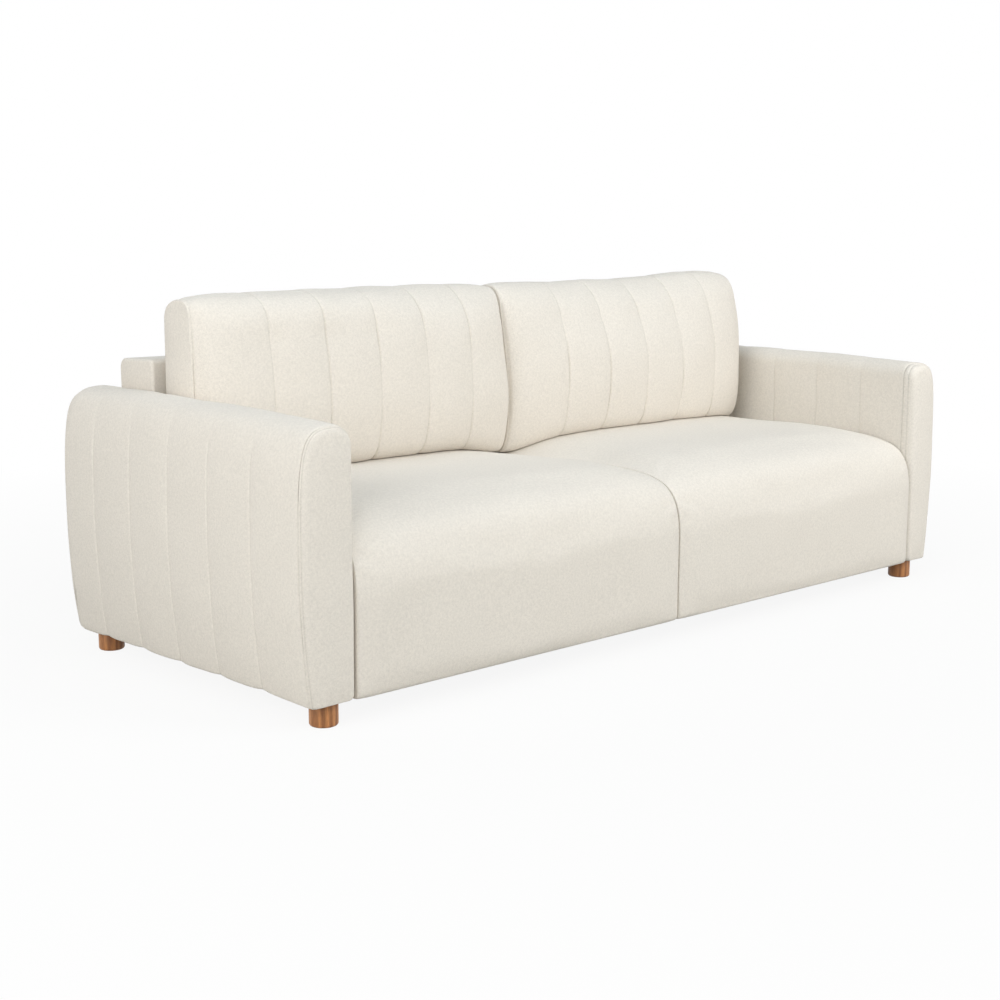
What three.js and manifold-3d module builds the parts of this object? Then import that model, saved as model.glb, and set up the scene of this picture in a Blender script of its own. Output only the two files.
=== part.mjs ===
// A two-seat sofa with upholstered arms as high as its low back, two waterfall seats that reach down to the
// underside, two loose back cushions sewn in vertical channels, and round wooden feet under the arms.
// X runs along the sofa, Y from the front to the back and Z up from the floor. Left and right are as seen
// from the front. Every size is in millimetres.

import * as THREE from "three";
import { mergeVertices } from "three/addons/utils/BufferGeometryUtils.js";
import Module from "manifold-3d";

const wasm = await Module();
wasm.setup();

// Clearances
const fit = 0.3; // between pieces that touch
const overrun = 40; // how far a cutting shape runs past what it cuts

// Whole sofa
const insideWidth = 1964; // between the inner faces of the arms
const overallDepth = 934; // from the front of the seats to the rear of the arms
const overallHeight = 848; // top of the back cushions
const footHeight = 55;

// Arms
const armWidth = 130; // over the crowns of the channels
const armHeight = 622;
const armFrontSetback = 8; // behind the front of the seats
const armInnerRound = 50; // rounding from the inner face to the top
const armOuterRoundWidth = 78; // the wider, softer rounding on the outside
const armOuterRoundHeight = 96;
const armToeIn = 20; // how far the outer face comes in at its lower edge
const armHemRound = 14;
const armWidestShare = 0.52; // where the outer face is widest, up the arm
const armChannelPitch = 152; // seam to seam, counted from the front; the last channel takes what is left
const armSeamDepth = 6; // how far a channel seam pulls the cover in
const armCrestSeamDepth = 12; // the same at the facing seam, on top of the arm
const armPadSide = 22; // foam and fabric over the frame, where it is thinnest
const armPadTop = 48;
const facingDepth = 22; // padded end panel, from its seam to its crown
const facingBorder = 26; // width of the rounded border of that panel

// Seats
const seatEdgeHeight = 400; // top of a seat along its side
const seatCrown = 34; // how much higher it is in the middle
const seatSideGap = 3; // to the arm
const seatSplitGap = 4; // between the two seats
const seatFrontCrown = 12; // how far the front swells out from its side edges
const seatNoseDepth = 190; // the waterfall rounding, front to back
const seatNoseDrop = 150; // and top to bottom
const seatToeIn = 7; // how far the front comes in at its lower edge
const seatHemRound = 6;
const seatCoverSide = 20; // thickness of the cover and its fibre wrap
const seatCoverTop = 34;
const seatCoverRear = 14;
const apronThickness = 32; // padded front of the seat, before the front rail

// Base frame
const railThickness = 24;
const railHeight = 170;
const centreRailThickness = 44;
const springWire = 4.4;
const springCount = 4; // to a seat
const springLoops = 5;
const springSwing = 24; // half the width of a loop
const springBearing = 14; // how far a spring's end lies on its rail

// Arm frame
const postDepth = 90;
const armRailThickness = 30;

// Back
const backHeight = 688;
const backThickness = 141;
const backRearSetback = 50; // before the rear of the arms
const backEndGap = 6; // to the arm, at each end
const backPad = 22; // foam and fabric over the frame
const backPadTop = 26;
const backEdgeRound = 24;
const uprightThickness = 24;
const webbingWidth = 60;
const webbingThickness = 2;
const outsidePanelThickness = 4;

// Back cushions
const cushionEndGap = 32; // to the arm
const cushionSplitGap = 14; // between the two cushions
const cushionChannelPitch = 155.3; // the channels stand about the middle of the cushion
const cushionChannelCount = 6;
const cushionSeamDepth = 7;
const cushionDepth = 216; // front to back at the crown
const cushionEndRear = 28; // how far the end panel stands in front of the rear crown
const cushionEndTopDepth = 108; // width of the end panel near its top
const cushionEndBottomDepth = 150; // and at its bottom
const cushionEndDrop = 12; // how much lower the end panel is than the crown
const cushionSink = 8; // how far its form starts below the edge of the seat that then shapes its underside
const cushionCornerRound = 44;
const cushionWrap = 16; // cover and fibre wrap round the core, where they are thinnest
const zipWidth = 8;
const zipThickness = 5;
const zipEndInset = 110;

// Feet and fasteners
const footDiameter = 60;
const footEdgeRound = 6;
const footInset = 45; // from the arm's inner face to the middle of the foot
const footEndInset = 51; // from the end of the arm to the middle of the foot
const boltDiameter = 8;
const boltClearance = 0.4;
const boltTipChamfer = 1;
const footBoltInFoot = 30;
const footBoltInRail = 22;
const boltHeadDiameter = 18;
const boltHeadHeight = 5;
const armBoltInPost = 34; // how far an arm bolt reaches into the arm's post
const armBoltEdge = 26; // from the edge of the post to the bolt
const armBoltHeightShare = 0.6; // of the base rail's height
const dustCoverThickness = 1.2;
const dustCoverInset = 16;
const dustCoverHoleMargin = 2;

// Places that follow from those sizes
const underside = footHeight + fit;
const armInner = insideWidth / 2;
const armOuter = armInner + armWidth;
const armFront = -overallDepth / 2 + armFrontSetback;
const frontSeam = armFront + facingDepth;
const rearSeam = overallDepth / 2 - facingDepth;
const railTop = underside + railHeight;
const deck = railTop + springWire + 2 * fit;
const seatFront = -overallDepth / 2;
const backRear = overallDepth / 2 - backRearSetback;
const backFront = backRear - backThickness;
const seatRear = backFront - fit;
const uprightFront = backFront + backPad + webbingThickness + 2 * fit;
const uprightRear = backRear - outsidePanelThickness - fit;
const backEnd = armInner - backEndGap;
const boltHeight = underside + railHeight * armBoltHeightShare;
const sides = { left: -1, right: 1 };

// Materials
const upholstery = new THREE.MeshStandardMaterial({ color: "#e6e0d5", roughness: 0.95 });
const foam = new THREE.MeshStandardMaterial({ color: "#efe9c9", roughness: 0.9 });
const fibreFabric = new THREE.MeshStandardMaterial({ color: "#2a2a2c", roughness: 0.95 });
const pine = new THREE.MeshStandardMaterial({ color: "#d2ae78", roughness: 0.7 });
const oiledWood = new THREE.MeshStandardMaterial({ color: "#9c6a42", roughness: 0.55 });
const steel = new THREE.MeshStandardMaterial({ color: "#8d9096", roughness: 0.35, metalness: 1 });
const zipTape = new THREE.MeshStandardMaterial({ color: "#d9d2c4", roughness: 0.8 });

const sofa = new THREE.Group();

// The closed mesh of a three.js geometry as a solid that can be cut.
function solidOf(geometry) {
  const bare = geometry.clone();
  bare.deleteAttribute("normal");
  bare.deleteAttribute("uv");
  const welded = mergeVertices(bare);
  const mesh = new wasm.Mesh({
    numProp: 3,
    vertProperties: welded.attributes.position.array,
    triVerts: new Uint32Array(welded.index.array),
  });
  return new wasm.Manifold(mesh);
}

// A cut solid as a three.js geometry again.
function geometryOf(solid) {
  const { vertProperties, triVerts } = solid.getMesh();
  const geometry = new THREE.BufferGeometry();
  geometry.setAttribute("position", new THREE.BufferAttribute(vertProperties, 3));
  geometry.setIndex(new THREE.BufferAttribute(triVerts, 1));
  geometry.computeVertexNormals();
  return geometry;
}

// Adds one named piece to the sofa.
function add(name, geometry, material, place = [0, 0, 0]) {
  const piece = new THREE.Mesh(geometry, material);
  piece.name = name;
  piece.position.set(...place);
  sofa.add(piece);
  return piece;
}

// A straight-sided block between two values on each axis.
function block([x0, x1], [y0, y1], [z0, z1]) {
  const geometry = new THREE.BoxGeometry(Math.abs(x1 - x0), y1 - y0, z1 - z0);
  return geometry.translate((x0 + x1) / 2, (y0 + y1) / 2, (z0 + z1) / 2);
}

// A round bar along X or Z, between two places on that axis.
function bar(axis, diameter, from, to, across) {
  const geometry = new THREE.CylinderGeometry(diameter / 2, diameter / 2, Math.abs(to - from), 12);
  if (axis === "x") {
    geometry.rotateZ(Math.PI / 2);
    return geometry.translate((from + to) / 2, across[0], across[1]);
  }
  geometry.rotateX(Math.PI / 2);
  return geometry.translate(across[0], across[1], (from + to) / 2);
}

// A closed skin through rings of points, with a flat cap on its first and last ring. The rings stand along
// the axis numbered by along, and all have as many points.
function loft(rings, along) {
  const count = rings[0].length;
  const flat = [0, 1, 2].filter((axis) => axis !== along);
  const outline = rings[0].map((point) => new THREE.Vector2(point[flat[0]], point[flat[1]]));
  const turn = Math.sign(THREE.ShapeUtils.area(outline));
  const cap = THREE.ShapeUtils.triangulateShape(outline, []).map(([a, b, c]) => {
    const area = THREE.ShapeUtils.area([outline[a], outline[b], outline[c]]);
    return Math.sign(area) === turn ? [a, b, c] : [a, c, b];
  });
  const faces = [];
  rings.slice(1).forEach((_, ring) => {
    for (let i = 0; i < count; i++) {
      const next = (i + 1) % count;
      const [a, b] = [ring * count + i, ring * count + next];
      const [c, d] = [a + count, b + count];
      faces.push([a, b, d], [a, d, c]);
    }
  });
  const last = (rings.length - 1) * count;
  cap.forEach(([a, b, c]) => faces.push([a, c, b], [last + a, last + b, last + c]));
  const points = rings.flat();
  const [p, q, r] = [new THREE.Vector3(), new THREE.Vector3(), new THREE.Vector3()];
  const volume = faces.reduce((sum, [a, b, c]) => {
    p.fromArray(points[a]);
    q.fromArray(points[b]);
    r.fromArray(points[c]);
    return sum + p.dot(q.cross(r));
  }, 0);
  const index = volume < 0 ? faces.map(([a, b, c]) => [a, c, b]) : faces;
  const geometry = new THREE.BufferGeometry();
  geometry.setAttribute("position", new THREE.Float32BufferAttribute(points.flat(), 3));
  geometry.setIndex(index.flat());
  return geometry;
}

// How full a soft form is at a share of its width: 0 at both ends, 1 in the middle.
function fullness(share, flatness) {
  return Math.sqrt(1 - Math.abs(2 * share - 1) ** flatness);
}

// Shares of a channel at which its skin is drawn, and how much of the seam's depth each keeps.
const channelShares = [0, 0.13, 0.5, 0.87];
const channelKeepShares = [1, 0.3, 0, 0.3];

// Feet: turned posts with a rounded lower edge, and the threaded pins that hold them to the frame
function footGeometry() {
  const radius = footDiameter / 2;
  const profile = new THREE.Path();
  profile.moveTo(0, 0);
  profile.lineTo(radius - footEdgeRound, 0);
  profile.absarc(radius - footEdgeRound, footEdgeRound, footEdgeRound, -Math.PI / 2, 0, false);
  profile.lineTo(radius, footHeight);
  profile.lineTo(0, footHeight);
  const turned = new THREE.LatheGeometry(profile.getPoints(2), 24).rotateX(Math.PI / 2);
  const hole = bar("z", boltDiameter + boltClearance, footHeight - footBoltInFoot - fit, footHeight + overrun, [0, 0]);
  return geometryOf(solidOf(turned).subtract(solidOf(hole)));
}

function footPinGeometry() {
  const radius = boltDiameter / 2;
  const bottom = -footBoltInFoot;
  const top = footBoltInRail;
  const profile = [
    [0, bottom],
    [radius - boltTipChamfer, bottom],
    [radius, bottom + boltTipChamfer],
    [radius, top - boltTipChamfer],
    [radius - boltTipChamfer, top],
    [0, top],
  ].map(([across, height]) => new THREE.Vector2(across, height));
  return new THREE.LatheGeometry(profile, 12).rotateX(Math.PI / 2);
}

const footPlaces = [["centre", 0, 0]];
for (const [side, turn] of Object.entries(sides)) {
  const across = turn * (armInner + footInset);
  footPlaces.push([`front_${side}`, across, armFront + footEndInset]);
  footPlaces.push([`rear_${side}`, across, overallDepth / 2 - footEndInset]);
}
for (const [name, x, y] of footPlaces) {
  add(`foot_${name}`, footGeometry(), oiledWood, [x, y, 0]);
  add(`foot_pin_${name}`, footPinGeometry(), steel, [x, y, footHeight]);
}

// A board with the holes for the feet's pins drilled up into it
function drilled(board) {
  const holes = footPlaces.map(([, x, y]) =>
    solidOf(bar("z", boltDiameter + boltClearance, underside - overrun, footHeight + footBoltInRail + fit, [x, y])));
  return holes.reduce((left, hole) => left.subtract(hole), solidOf(board));
}

// Base frame between the arms: five rails on edge
const frontRail = [seatFront + apronThickness + fit, seatFront + apronThickness + fit + railThickness];
const rearRail = [uprightFront - fit - railThickness, uprightFront - fit];
const upright = [underside, railTop];
const baseSpan = [-armInner + fit, armInner - fit];
const betweenRails = [frontRail[1] + fit, rearRail[0] - fit];
add("base_front_rail", block(baseSpan, frontRail, upright), pine);
add("base_rear_rail", block(baseSpan, rearRail, upright), pine);
const centreRail = block([-centreRailThickness / 2, centreRailThickness / 2], betweenRails, upright);
add("base_centre_rail", geometryOf(drilled(centreRail)), pine);

// Arm bolts: the front pair holds the base to the arms, the rear pair the back to the arms
const frontBolt = [frontSeam + fit + postDepth - armBoltEdge, boltHeight];
const rearBolt = [rearSeam - fit - postDepth + armBoltEdge, boltHeight];
const postInner = armInner + armPadSide + fit;
const postOuter = armOuter - armToeIn - armPadSide - fit;
const baseEndInner = armInner - fit - railThickness;
const backEndInner = backEnd - backPad - fit - uprightThickness;

function boltHoles(turn) {
  return [frontBolt, rearBolt].map((across) => {
    const reach = turn * (postInner + armBoltInPost + fit);
    return solidOf(bar("x", boltDiameter + boltClearance, 0, reach, across));
  });
}

function boltGeometry(turn, seat, across) {
  const shank = bar("x", boltDiameter, turn * (seat - fit), turn * (postInner + armBoltInPost), across);
  const head = bar("x", boltHeadDiameter, turn * (seat - fit), turn * (seat - fit - boltHeadHeight), across);
  return geometryOf(solidOf(shank).add(solidOf(head)));
}

// An arm's cross-section: straight inside, a tight inner and a soft outer rounding on top, and an outer face
// that is widest part-way up and comes in towards the hem. Places are measured out from the inner face.
const innerHandleShare = 0.55;
const outerHandleShare = 0.65;

function armOutline(sideInset, topInset) {
  const inner = sideInset;
  const outer = armWidth - sideInset;
  const crest = armHeight - topInset;
  const widest = underside + (armHeight - underside) * armWidestShare;
  const shape = new THREE.Shape();
  shape.moveTo(inner, underside + armHemRound);
  shape.lineTo(inner, crest - armInnerRound);
  shape.bezierCurveTo(
    inner, crest - armInnerRound * (1 - innerHandleShare),
    inner + armInnerRound * (1 - innerHandleShare), crest,
    inner + armInnerRound, crest,
  );
  shape.bezierCurveTo(
    outer - armOuterRoundWidth * (1 - outerHandleShare), crest,
    outer, crest - armOuterRoundHeight * (1 - outerHandleShare),
    outer, widest,
  );
  shape.quadraticCurveTo(outer, (widest + underside) / 2, outer - armToeIn, underside + armHemRound);
  shape.quadraticCurveTo(outer - armToeIn, underside, outer - armToeIn - armHemRound, underside);
  shape.lineTo(inner + armHemRound, underside);
  shape.quadraticCurveTo(inner, underside, inner, underside + armHemRound);
  const outline = shape.getPoints(5);
  outline.pop();
  return outline;
}

function armRing(turn, y, sideInset, topInset) {
  return armOutline(sideInset, topInset).map(({ x, y: z }) => [turn * (armInner + x), y, z]);
}

// The arm's cover: channels sewn across its length, drawn over the frame like a sleeve, open below and at
// both ends, where the facings close it
function armCover(turn) {
  const [start, end] = [frontSeam + fit, rearSeam - fit];
  const rings = [];
  for (let seam = start; seam < end; seam += armChannelPitch) {
    const width = Math.min(armChannelPitch, end - seam);
    channelShares.forEach((share, i) => {
      const top = seam === start && i === 0 ? armCrestSeamDepth : armSeamDepth;
      const keep = channelKeepShares[i];
      rings.push(armRing(turn, seam + share * width, armSeamDepth * keep, top * keep));
    });
  }
  rings.push(armRing(turn, end, armSeamDepth, armCrestSeamDepth));
  const frameSpace = block(
    [turn * (postInner - fit), turn * (postOuter + fit)],
    [frontSeam - overrun, rearSeam + overrun],
    [underside - overrun, armHeight - armPadTop],
  );
  const sleeve = solidOf(loft(rings, 1)).subtract(solidOf(frameSpace));
  return boltHoles(turn).reduce((left, hole) => left.subtract(hole), sleeve);
}

// A facing: the padded panel that closes an end of the arm, swelling out from its seam and rounding over to
// a nearly flat front
const facingDepthShares = [0, 0.4, 0.78, 0.96, 1];
const facingBorderShares = [0, 0, 0.2, 0.55, 1];

function facing(turn, seam, outward) {
  const rings = facingDepthShares.map((share, i) => {
    const swell = i === 1 ? armSeamDepth : 0;
    const inset = facingBorder * facingBorderShares[i] - swell;
    const y = seam + outward * share * facingDepth;
    return armRing(turn, y, armSeamDepth + inset, armCrestSeamDepth + inset);
  });
  return loft(rings, 1);
}

for (const [side, turn] of Object.entries(sides)) {
  const frame = [turn * postInner, turn * postOuter];
  const length = [frontSeam + fit, rearSeam - fit];
  const topRail = [armHeight - armPadTop - fit - armRailThickness, armHeight - armPadTop - fit];
  const bottomRail = [underside, underside + armRailThickness];
  const posts = [bottomRail[1] + fit, topRail[0] - fit];
  const bolts = boltHoles(turn);
  add(`${side}_arm_cover`, geometryOf(armCover(turn)), upholstery);
  add(`${side}_arm_front_facing`, facing(turn, frontSeam, -1), upholstery);
  add(`${side}_arm_rear_facing`, facing(turn, rearSeam, 1), upholstery);
  add(`${side}_arm_top_rail`, block(frame, length, topRail), pine);
  add(`${side}_arm_bottom_rail`, geometryOf(drilled(block(frame, length, bottomRail))), pine);
  const frontPost = solidOf(block(frame, [length[0], length[0] + postDepth], posts)).subtract(bolts[0]);
  const rearPost = solidOf(block(frame, [length[1] - postDepth, length[1]], posts)).subtract(bolts[1]);
  add(`${side}_arm_front_post`, geometryOf(frontPost), pine);
  add(`${side}_arm_rear_post`, geometryOf(rearPost), pine);
  const endRail = block([turn * (armInner - fit), turn * baseEndInner], betweenRails, upright);
  add(`base_${side}_rail`, geometryOf(solidOf(endRail).subtract(bolts[0])), pine);
  add(`${side}_front_arm_bolt`, boltGeometry(turn, baseEndInner, frontBolt), steel);
  add(`${side}_rear_arm_bolt`, boltGeometry(turn, backEndInner, rearBolt), steel);
}

// Back: an upholstered box that stands behind the seats, over three uprights and a top rail
const softeningShare = 0.3; // how far the middle of an end's rounding stands in

function backCover() {
  const shape = new THREE.Shape();
  shape.moveTo(backFront, underside);
  shape.lineTo(backFront, backHeight - backEdgeRound);
  shape.absarc(backFront + backEdgeRound, backHeight - backEdgeRound, backEdgeRound, Math.PI, Math.PI / 2, true);
  shape.lineTo(backRear - backEdgeRound, backHeight);
  shape.absarc(backRear - backEdgeRound, backHeight - backEdgeRound, backEdgeRound, Math.PI / 2, 0, true);
  shape.lineTo(backRear, underside);
  const outline = shape.getPoints(3);
  const middle = (backFront + backRear) / 2;
  // The ends round over: each ring is drawn in a little towards the middle of the back
  const endRing = (turn, out, inset) => outline.map(({ x: y, y: z }) => {
    const towards = Math.sign(middle - y) * inset;
    return [turn * (backEnd - out), y + towards, z === underside ? z : z - inset];
  });
  const softening = backEdgeRound / 2;
  const half = softening * softeningShare;
  const rings = [
    endRing(-1, 0, softening), endRing(-1, half, half), endRing(-1, softening, 0),
    endRing(1, softening, 0), endRing(1, half, half), endRing(1, 0, softening),
  ];
  const inside = [-backEnd + backPad, backEnd - backPad];
  const frameSpace = block(inside, [backFront + backPad, backRear + overrun], [underside - overrun, backHeight - backPadTop]);
  const baseSpace = block(
    [-backEnd - overrun, backEnd + overrun],
    [backFront - overrun, uprightFront],
    [underside - overrun, deck],
  );
  const holes = [...boltHoles(-1), ...boltHoles(1)];
  const shell = solidOf(loft(rings, 0)).subtract(solidOf(frameSpace)).subtract(solidOf(baseSpace));
  return holes.reduce((left, hole) => left.subtract(hole), shell);
}

add("back_cover", geometryOf(backCover()), upholstery);
const frameEnd = backEnd - backPad - fit;
const backTopRail = [backHeight - backPadTop - fit - uprightThickness, backHeight - backPadTop - fit];
add("back_top_rail", block([-frameEnd, frameEnd], [uprightFront, uprightRear], backTopRail), pine);
const uprightHeights = [underside, backTopRail[0] - fit];
for (const [side, turn] of Object.entries(sides)) {
  const board = block([turn * frameEnd, turn * (frameEnd - uprightThickness)], [uprightFront, uprightRear], uprightHeights);
  add(`back_${side}_upright`, geometryOf(solidOf(board).subtract(boltHoles(turn)[1])), pine);
}
const middleUpright = [-uprightThickness / 2, uprightThickness / 2];
add("back_centre_upright", block(middleUpright, [uprightFront, uprightRear], uprightHeights), pine);
const webbingShares = [0.35, 0.75];
["lower", "upper"].forEach((level, i) => {
  const middle = deck + (backHeight - backPadTop - deck) * webbingShares[i];
  const across = [backFront + backPad + fit, backFront + backPad + fit + webbingThickness];
  const band = [middle - webbingWidth / 2, middle + webbingWidth / 2];
  add(`back_${level}_webbing`, block([-frameEnd, frameEnd], across, band), fibreFabric);
});
const outsidePanel = [backRear - outsidePanelThickness, backRear];
add("outside_back_panel", block([-frameEnd, frameEnd], outsidePanel, [underside, backHeight - backPadTop - fit]), upholstery);

// Seats. A seat is widest and highest in its middle, falls away to its sides, and rolls over its nose to a
// front that reaches the underside.
const seatFlatness = 4;
const seatFrontFlatness = 12;
const noseHandleShare = 0.42; // how far the top stays level into the nose
const noseDropHandleShare = 0.3; // and how far the nose has dropped where it turns upright
const seatInnerEdge = seatSplitGap / 2;
const seatOuterEdge = armInner - seatSideGap;
const seatWidth = seatOuterEdge - seatInnerEdge;

function seatOutline(share, lift, rear) {
  const front = seatFront + seatFrontCrown * (1 - fullness(share, seatFrontFlatness));
  const top = seatEdgeHeight + seatCrown * fullness(share, seatFlatness) + lift;
  const shape = new THREE.Shape();
  shape.moveTo(rear, underside);
  shape.lineTo(rear, top);
  shape.lineTo(front + seatNoseDepth, top);
  shape.bezierCurveTo(
    front + seatNoseDepth * noseHandleShare, top,
    front, top - seatNoseDrop * noseDropHandleShare,
    front, top - seatNoseDrop,
  );
  shape.lineTo(front + seatToeIn, underside + seatHemRound);
  shape.quadraticCurveTo(front + seatToeIn, underside, front + seatToeIn + seatHemRound, underside);
  return shape.getPoints(7);
}

function seatForm(turn, lift = 0, rear = seatRear) {
  const steps = 18;
  const rings = [];
  for (let step = 0; step <= steps; step++) {
    const share = (1 - Math.cos((Math.PI * step) / steps)) / 2;
    const x = turn * (seatInnerEdge + seatWidth * share);
    rings.push(seatOutline(share, lift, rear).map(({ x: y, y: z }) => [x, y, z]));
  }
  return solidOf(loft(rings, 0));
}

// The foam inside a seat: a slab with the same rounded nose, between two places along the sofa
function seatSlab(turn, clearance, bottom) {
  const nose = new THREE.Shape();
  const front = seatFront + apronThickness + clearance;
  const rear = seatRear - seatCoverRear - clearance;
  const top = seatEdgeHeight - seatCoverTop - clearance;
  const round = seatNoseDrop / 2;
  nose.moveTo(front, bottom);
  nose.lineTo(rear, bottom);
  nose.lineTo(rear, top);
  nose.lineTo(front + round, top);
  nose.quadraticCurveTo(front, top, front, top - round);
  const width = seatWidth - 2 * (seatCoverSide + clearance);
  const slab = new THREE.ExtrudeGeometry(nose, { depth: width, bevelEnabled: false, curveSegments: 5 });
  slab.rotateY(Math.PI / 2).rotateX(Math.PI / 2);
  const middle = turn * (seatInnerEdge + seatWidth / 2);
  return slab.translate(middle - width / 2, 0, 0);
}

for (const [side, turn] of Object.entries(sides)) {
  const edges = [turn * (seatInnerEdge - overrun), turn * (seatOuterEdge + overrun)];
  const frameSpace = block(edges, [seatFront + apronThickness, seatRear + overrun], [underside - overrun, deck]);
  const cover = seatForm(turn).subtract(solidOf(frameSpace)).subtract(solidOf(seatSlab(turn, 0, deck - fit)));
  add(`${side}_seat_cover`, geometryOf(cover), upholstery);
  add(`${side}_seat_foam`, seatSlab(turn, fit, deck), foam);
}

// Seat springs: wires bent to and fro in one plane, from the front rail to the rear rail
class BentWire extends THREE.Curve {
  getPoint(t, target = new THREE.Vector3()) {
    const start = frontRail[1] - springBearing;
    const end = rearRail[0] + springBearing;
    return target.set(springSwing * Math.sin(2 * Math.PI * springLoops * t), start + (end - start) * t, 0);
  }
}

function springGeometry() {
  const radius = springWire / 2;
  const section = new THREE.Shape([
    new THREE.Vector2(radius, 0),
    new THREE.Vector2(0, radius),
    new THREE.Vector2(-radius, 0),
    new THREE.Vector2(0, -radius),
  ]);
  const stepsToLoop = 8;
  return new THREE.ExtrudeGeometry(section, { steps: springLoops * stepsToLoop, extrudePath: new BentWire() });
}

for (const [side, turn] of Object.entries(sides)) {
  for (let spring = 0; spring < springCount; spring++) {
    const x = turn * (seatInnerEdge + (seatWidth * (spring + 0.5)) / springCount);
    const place = [x, 0, railTop + fit + springWire / 2];
    add(`${side}_seat_spring_${spring + 1}`, springGeometry(), steel, place);
  }
}

// Back cushions. The end panels stand upright and are thinner; between them the front swells forward, the
// rear swells back to the sofa's back, and seams draw the cover in between the channels.
const cushionFlatness = 2.5;
const cushionInnerEdge = cushionSplitGap / 2;
const cushionOuterEdge = armInner - cushionEndGap;
const cushionWidth = cushionOuterEdge - cushionInnerEdge;
const cushionRear = backFront - fit;
const cushionBottom = seatEdgeHeight - cushionSink;
const cushionHeight = overallHeight - cushionBottom;

const cushionPanelRear = cushionRear - cushionEndRear;
const panelFrontTop = cushionPanelRear - cushionEndTopDepth;
const panelFrontBottom = cushionPanelRear - cushionEndBottomDepth;
const panelWaistShare = 0.45; // how far the end panel has narrowed, from bottom to top, at the belly
const bellyStartShare = 0.14; // heights of the belly, up the cushion
const bellyShare = 0.4;
const bellyEndShare = 0.66;
const footShare = 0.84; // depth of the cushion at its bottom, of its depth at the belly
const crestShare = 0.4; // and at its highest line
const shoulderDepthShare = 0.32; // the front shoulder, as shares of the cushion's depth and height
const shoulderHeightShare = 0.3;
const shoulderInShares = [0.3, 0.62]; // places on the shoulder, in from the belly
const shoulderDropShares = [0.62, 0.36]; // and down from the top
const cornerHandleShare = 0.4;

// The cushion's outline in Y and Z, between that of its end panel, at 0 full, and of its crown, at 1 full
function cushionOutline(full, inset) {
  const between = (panel, crown) => panel + (crown - panel) * full;
  const height = (share) => cushionBottom + cushionHeight * share;
  const depth = (share) => cushionRear - cushionDepth * share;
  const top = overallHeight - cushionEndDrop * (1 - full) - inset;
  const rear = cushionRear - cushionEndRear * (1 - full);
  const waist = panelFrontBottom + (panelFrontTop - panelFrontBottom) * panelWaistShare;
  const belly = between(waist, depth(1)) + inset;
  const foot = between(panelFrontBottom, depth(footShare)) + inset;
  const crest = between((panelFrontTop + cushionPanelRear) / 2, depth(crestShare));
  const shoulderDepth = between(cushionCornerRound, cushionDepth * shoulderDepthShare);
  const shoulderHeight = between(cushionCornerRound, cushionHeight * shoulderHeightShare);
  const shoulderIn = (share) => between(panelFrontTop + inset, belly + shoulderDepth * share);
  const [lowIn, highIn] = shoulderInShares;
  const [lowDrop, highDrop] = shoulderDropShares;
  const handle = cushionCornerRound * cornerHandleShare;
  const shape = new THREE.Shape();
  shape.moveTo(foot, cushionBottom);
  shape.quadraticCurveTo(belly, height(bellyStartShare), belly, height(bellyShare));
  shape.bezierCurveTo(
    belly, height(bellyEndShare),
    shoulderIn(lowIn), top - shoulderHeight * lowDrop,
    shoulderIn(highIn), top - shoulderHeight * highDrop,
  );
  shape.quadraticCurveTo(shoulderIn(1), top, crest, top);
  shape.bezierCurveTo(rear - handle, top, rear, top - handle, rear, top - cushionCornerRound);
  shape.lineTo(rear, cushionBottom);
  return shape.getPoints(5);
}

// Where the ends of a cushion are drawn, as shares of its width, and how much of a seam's depth they keep
const endPlaceShares = [0, 0.004, 0.02, 0.06];
const endKeepShares = [1, 0.6, 0.3, 0.1];
const endReachShare = 0.07;

function cushionForm(turn) {
  const stations = endPlaceShares.map((share, i) => [share, endKeepShares[i]]);
  const farEnd = stations.map(([share, keep]) => [1 - share, keep]).reverse();
  for (let channel = 0; channel < cushionChannelCount; channel++) {
    channelShares.forEach((share, i) => {
      const across = (channel + share - cushionChannelCount / 2) * cushionChannelPitch;
      const place = (across + cushionWidth / 2) / cushionWidth;
      if (place > endReachShare && place < 1 - endReachShare) stations.push([place, channelKeepShares[i]]);
    });
  }
  const rings = [...stations, ...farEnd].map(([share, keep]) => {
    const x = turn * (cushionInnerEdge + cushionWidth * share);
    const outline = cushionOutline(fullness(share, cushionFlatness), cushionSeamDepth * keep);
    return outline.map(({ x: y, y: z }) => [x, y, z]);
  });
  return solidOf(loft(rings, 0));
}

// The core: a foam slab, thinner at its top, that stands in the middle of the cushion
const coreBottom = seatEdgeHeight + seatCrown + fit + cushionWrap;
function cushionSlab(turn, clearance) {
  const rear = cushionPanelRear - cushionWrap - clearance;
  const frontTop = panelFrontTop + cushionWrap + clearance;
  const frontBottom = panelFrontBottom + cushionWrap + clearance;
  const top = overallHeight - cushionEndDrop - 2 * cushionWrap - clearance;
  const bottom = coreBottom + clearance;
  const round = cushionCornerRound / 2;
  const side = new THREE.Shape([
    new THREE.Vector2(frontBottom, bottom),
    new THREE.Vector2(rear, bottom),
    new THREE.Vector2(rear, top - round),
    new THREE.Vector2(rear - round, top),
    new THREE.Vector2(frontTop + round, top),
    new THREE.Vector2(frontTop, top - round),
  ]);
  const width = cushionWidth - 2 * (cushionWrap + clearance);
  const slab = new THREE.ExtrudeGeometry(side, { depth: width, bevelEnabled: false });
  slab.rotateY(Math.PI / 2).rotateX(Math.PI / 2);
  return slab.translate(turn * (cushionInnerEdge + cushionWidth / 2) - width / 2, 0, 0);
}

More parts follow.
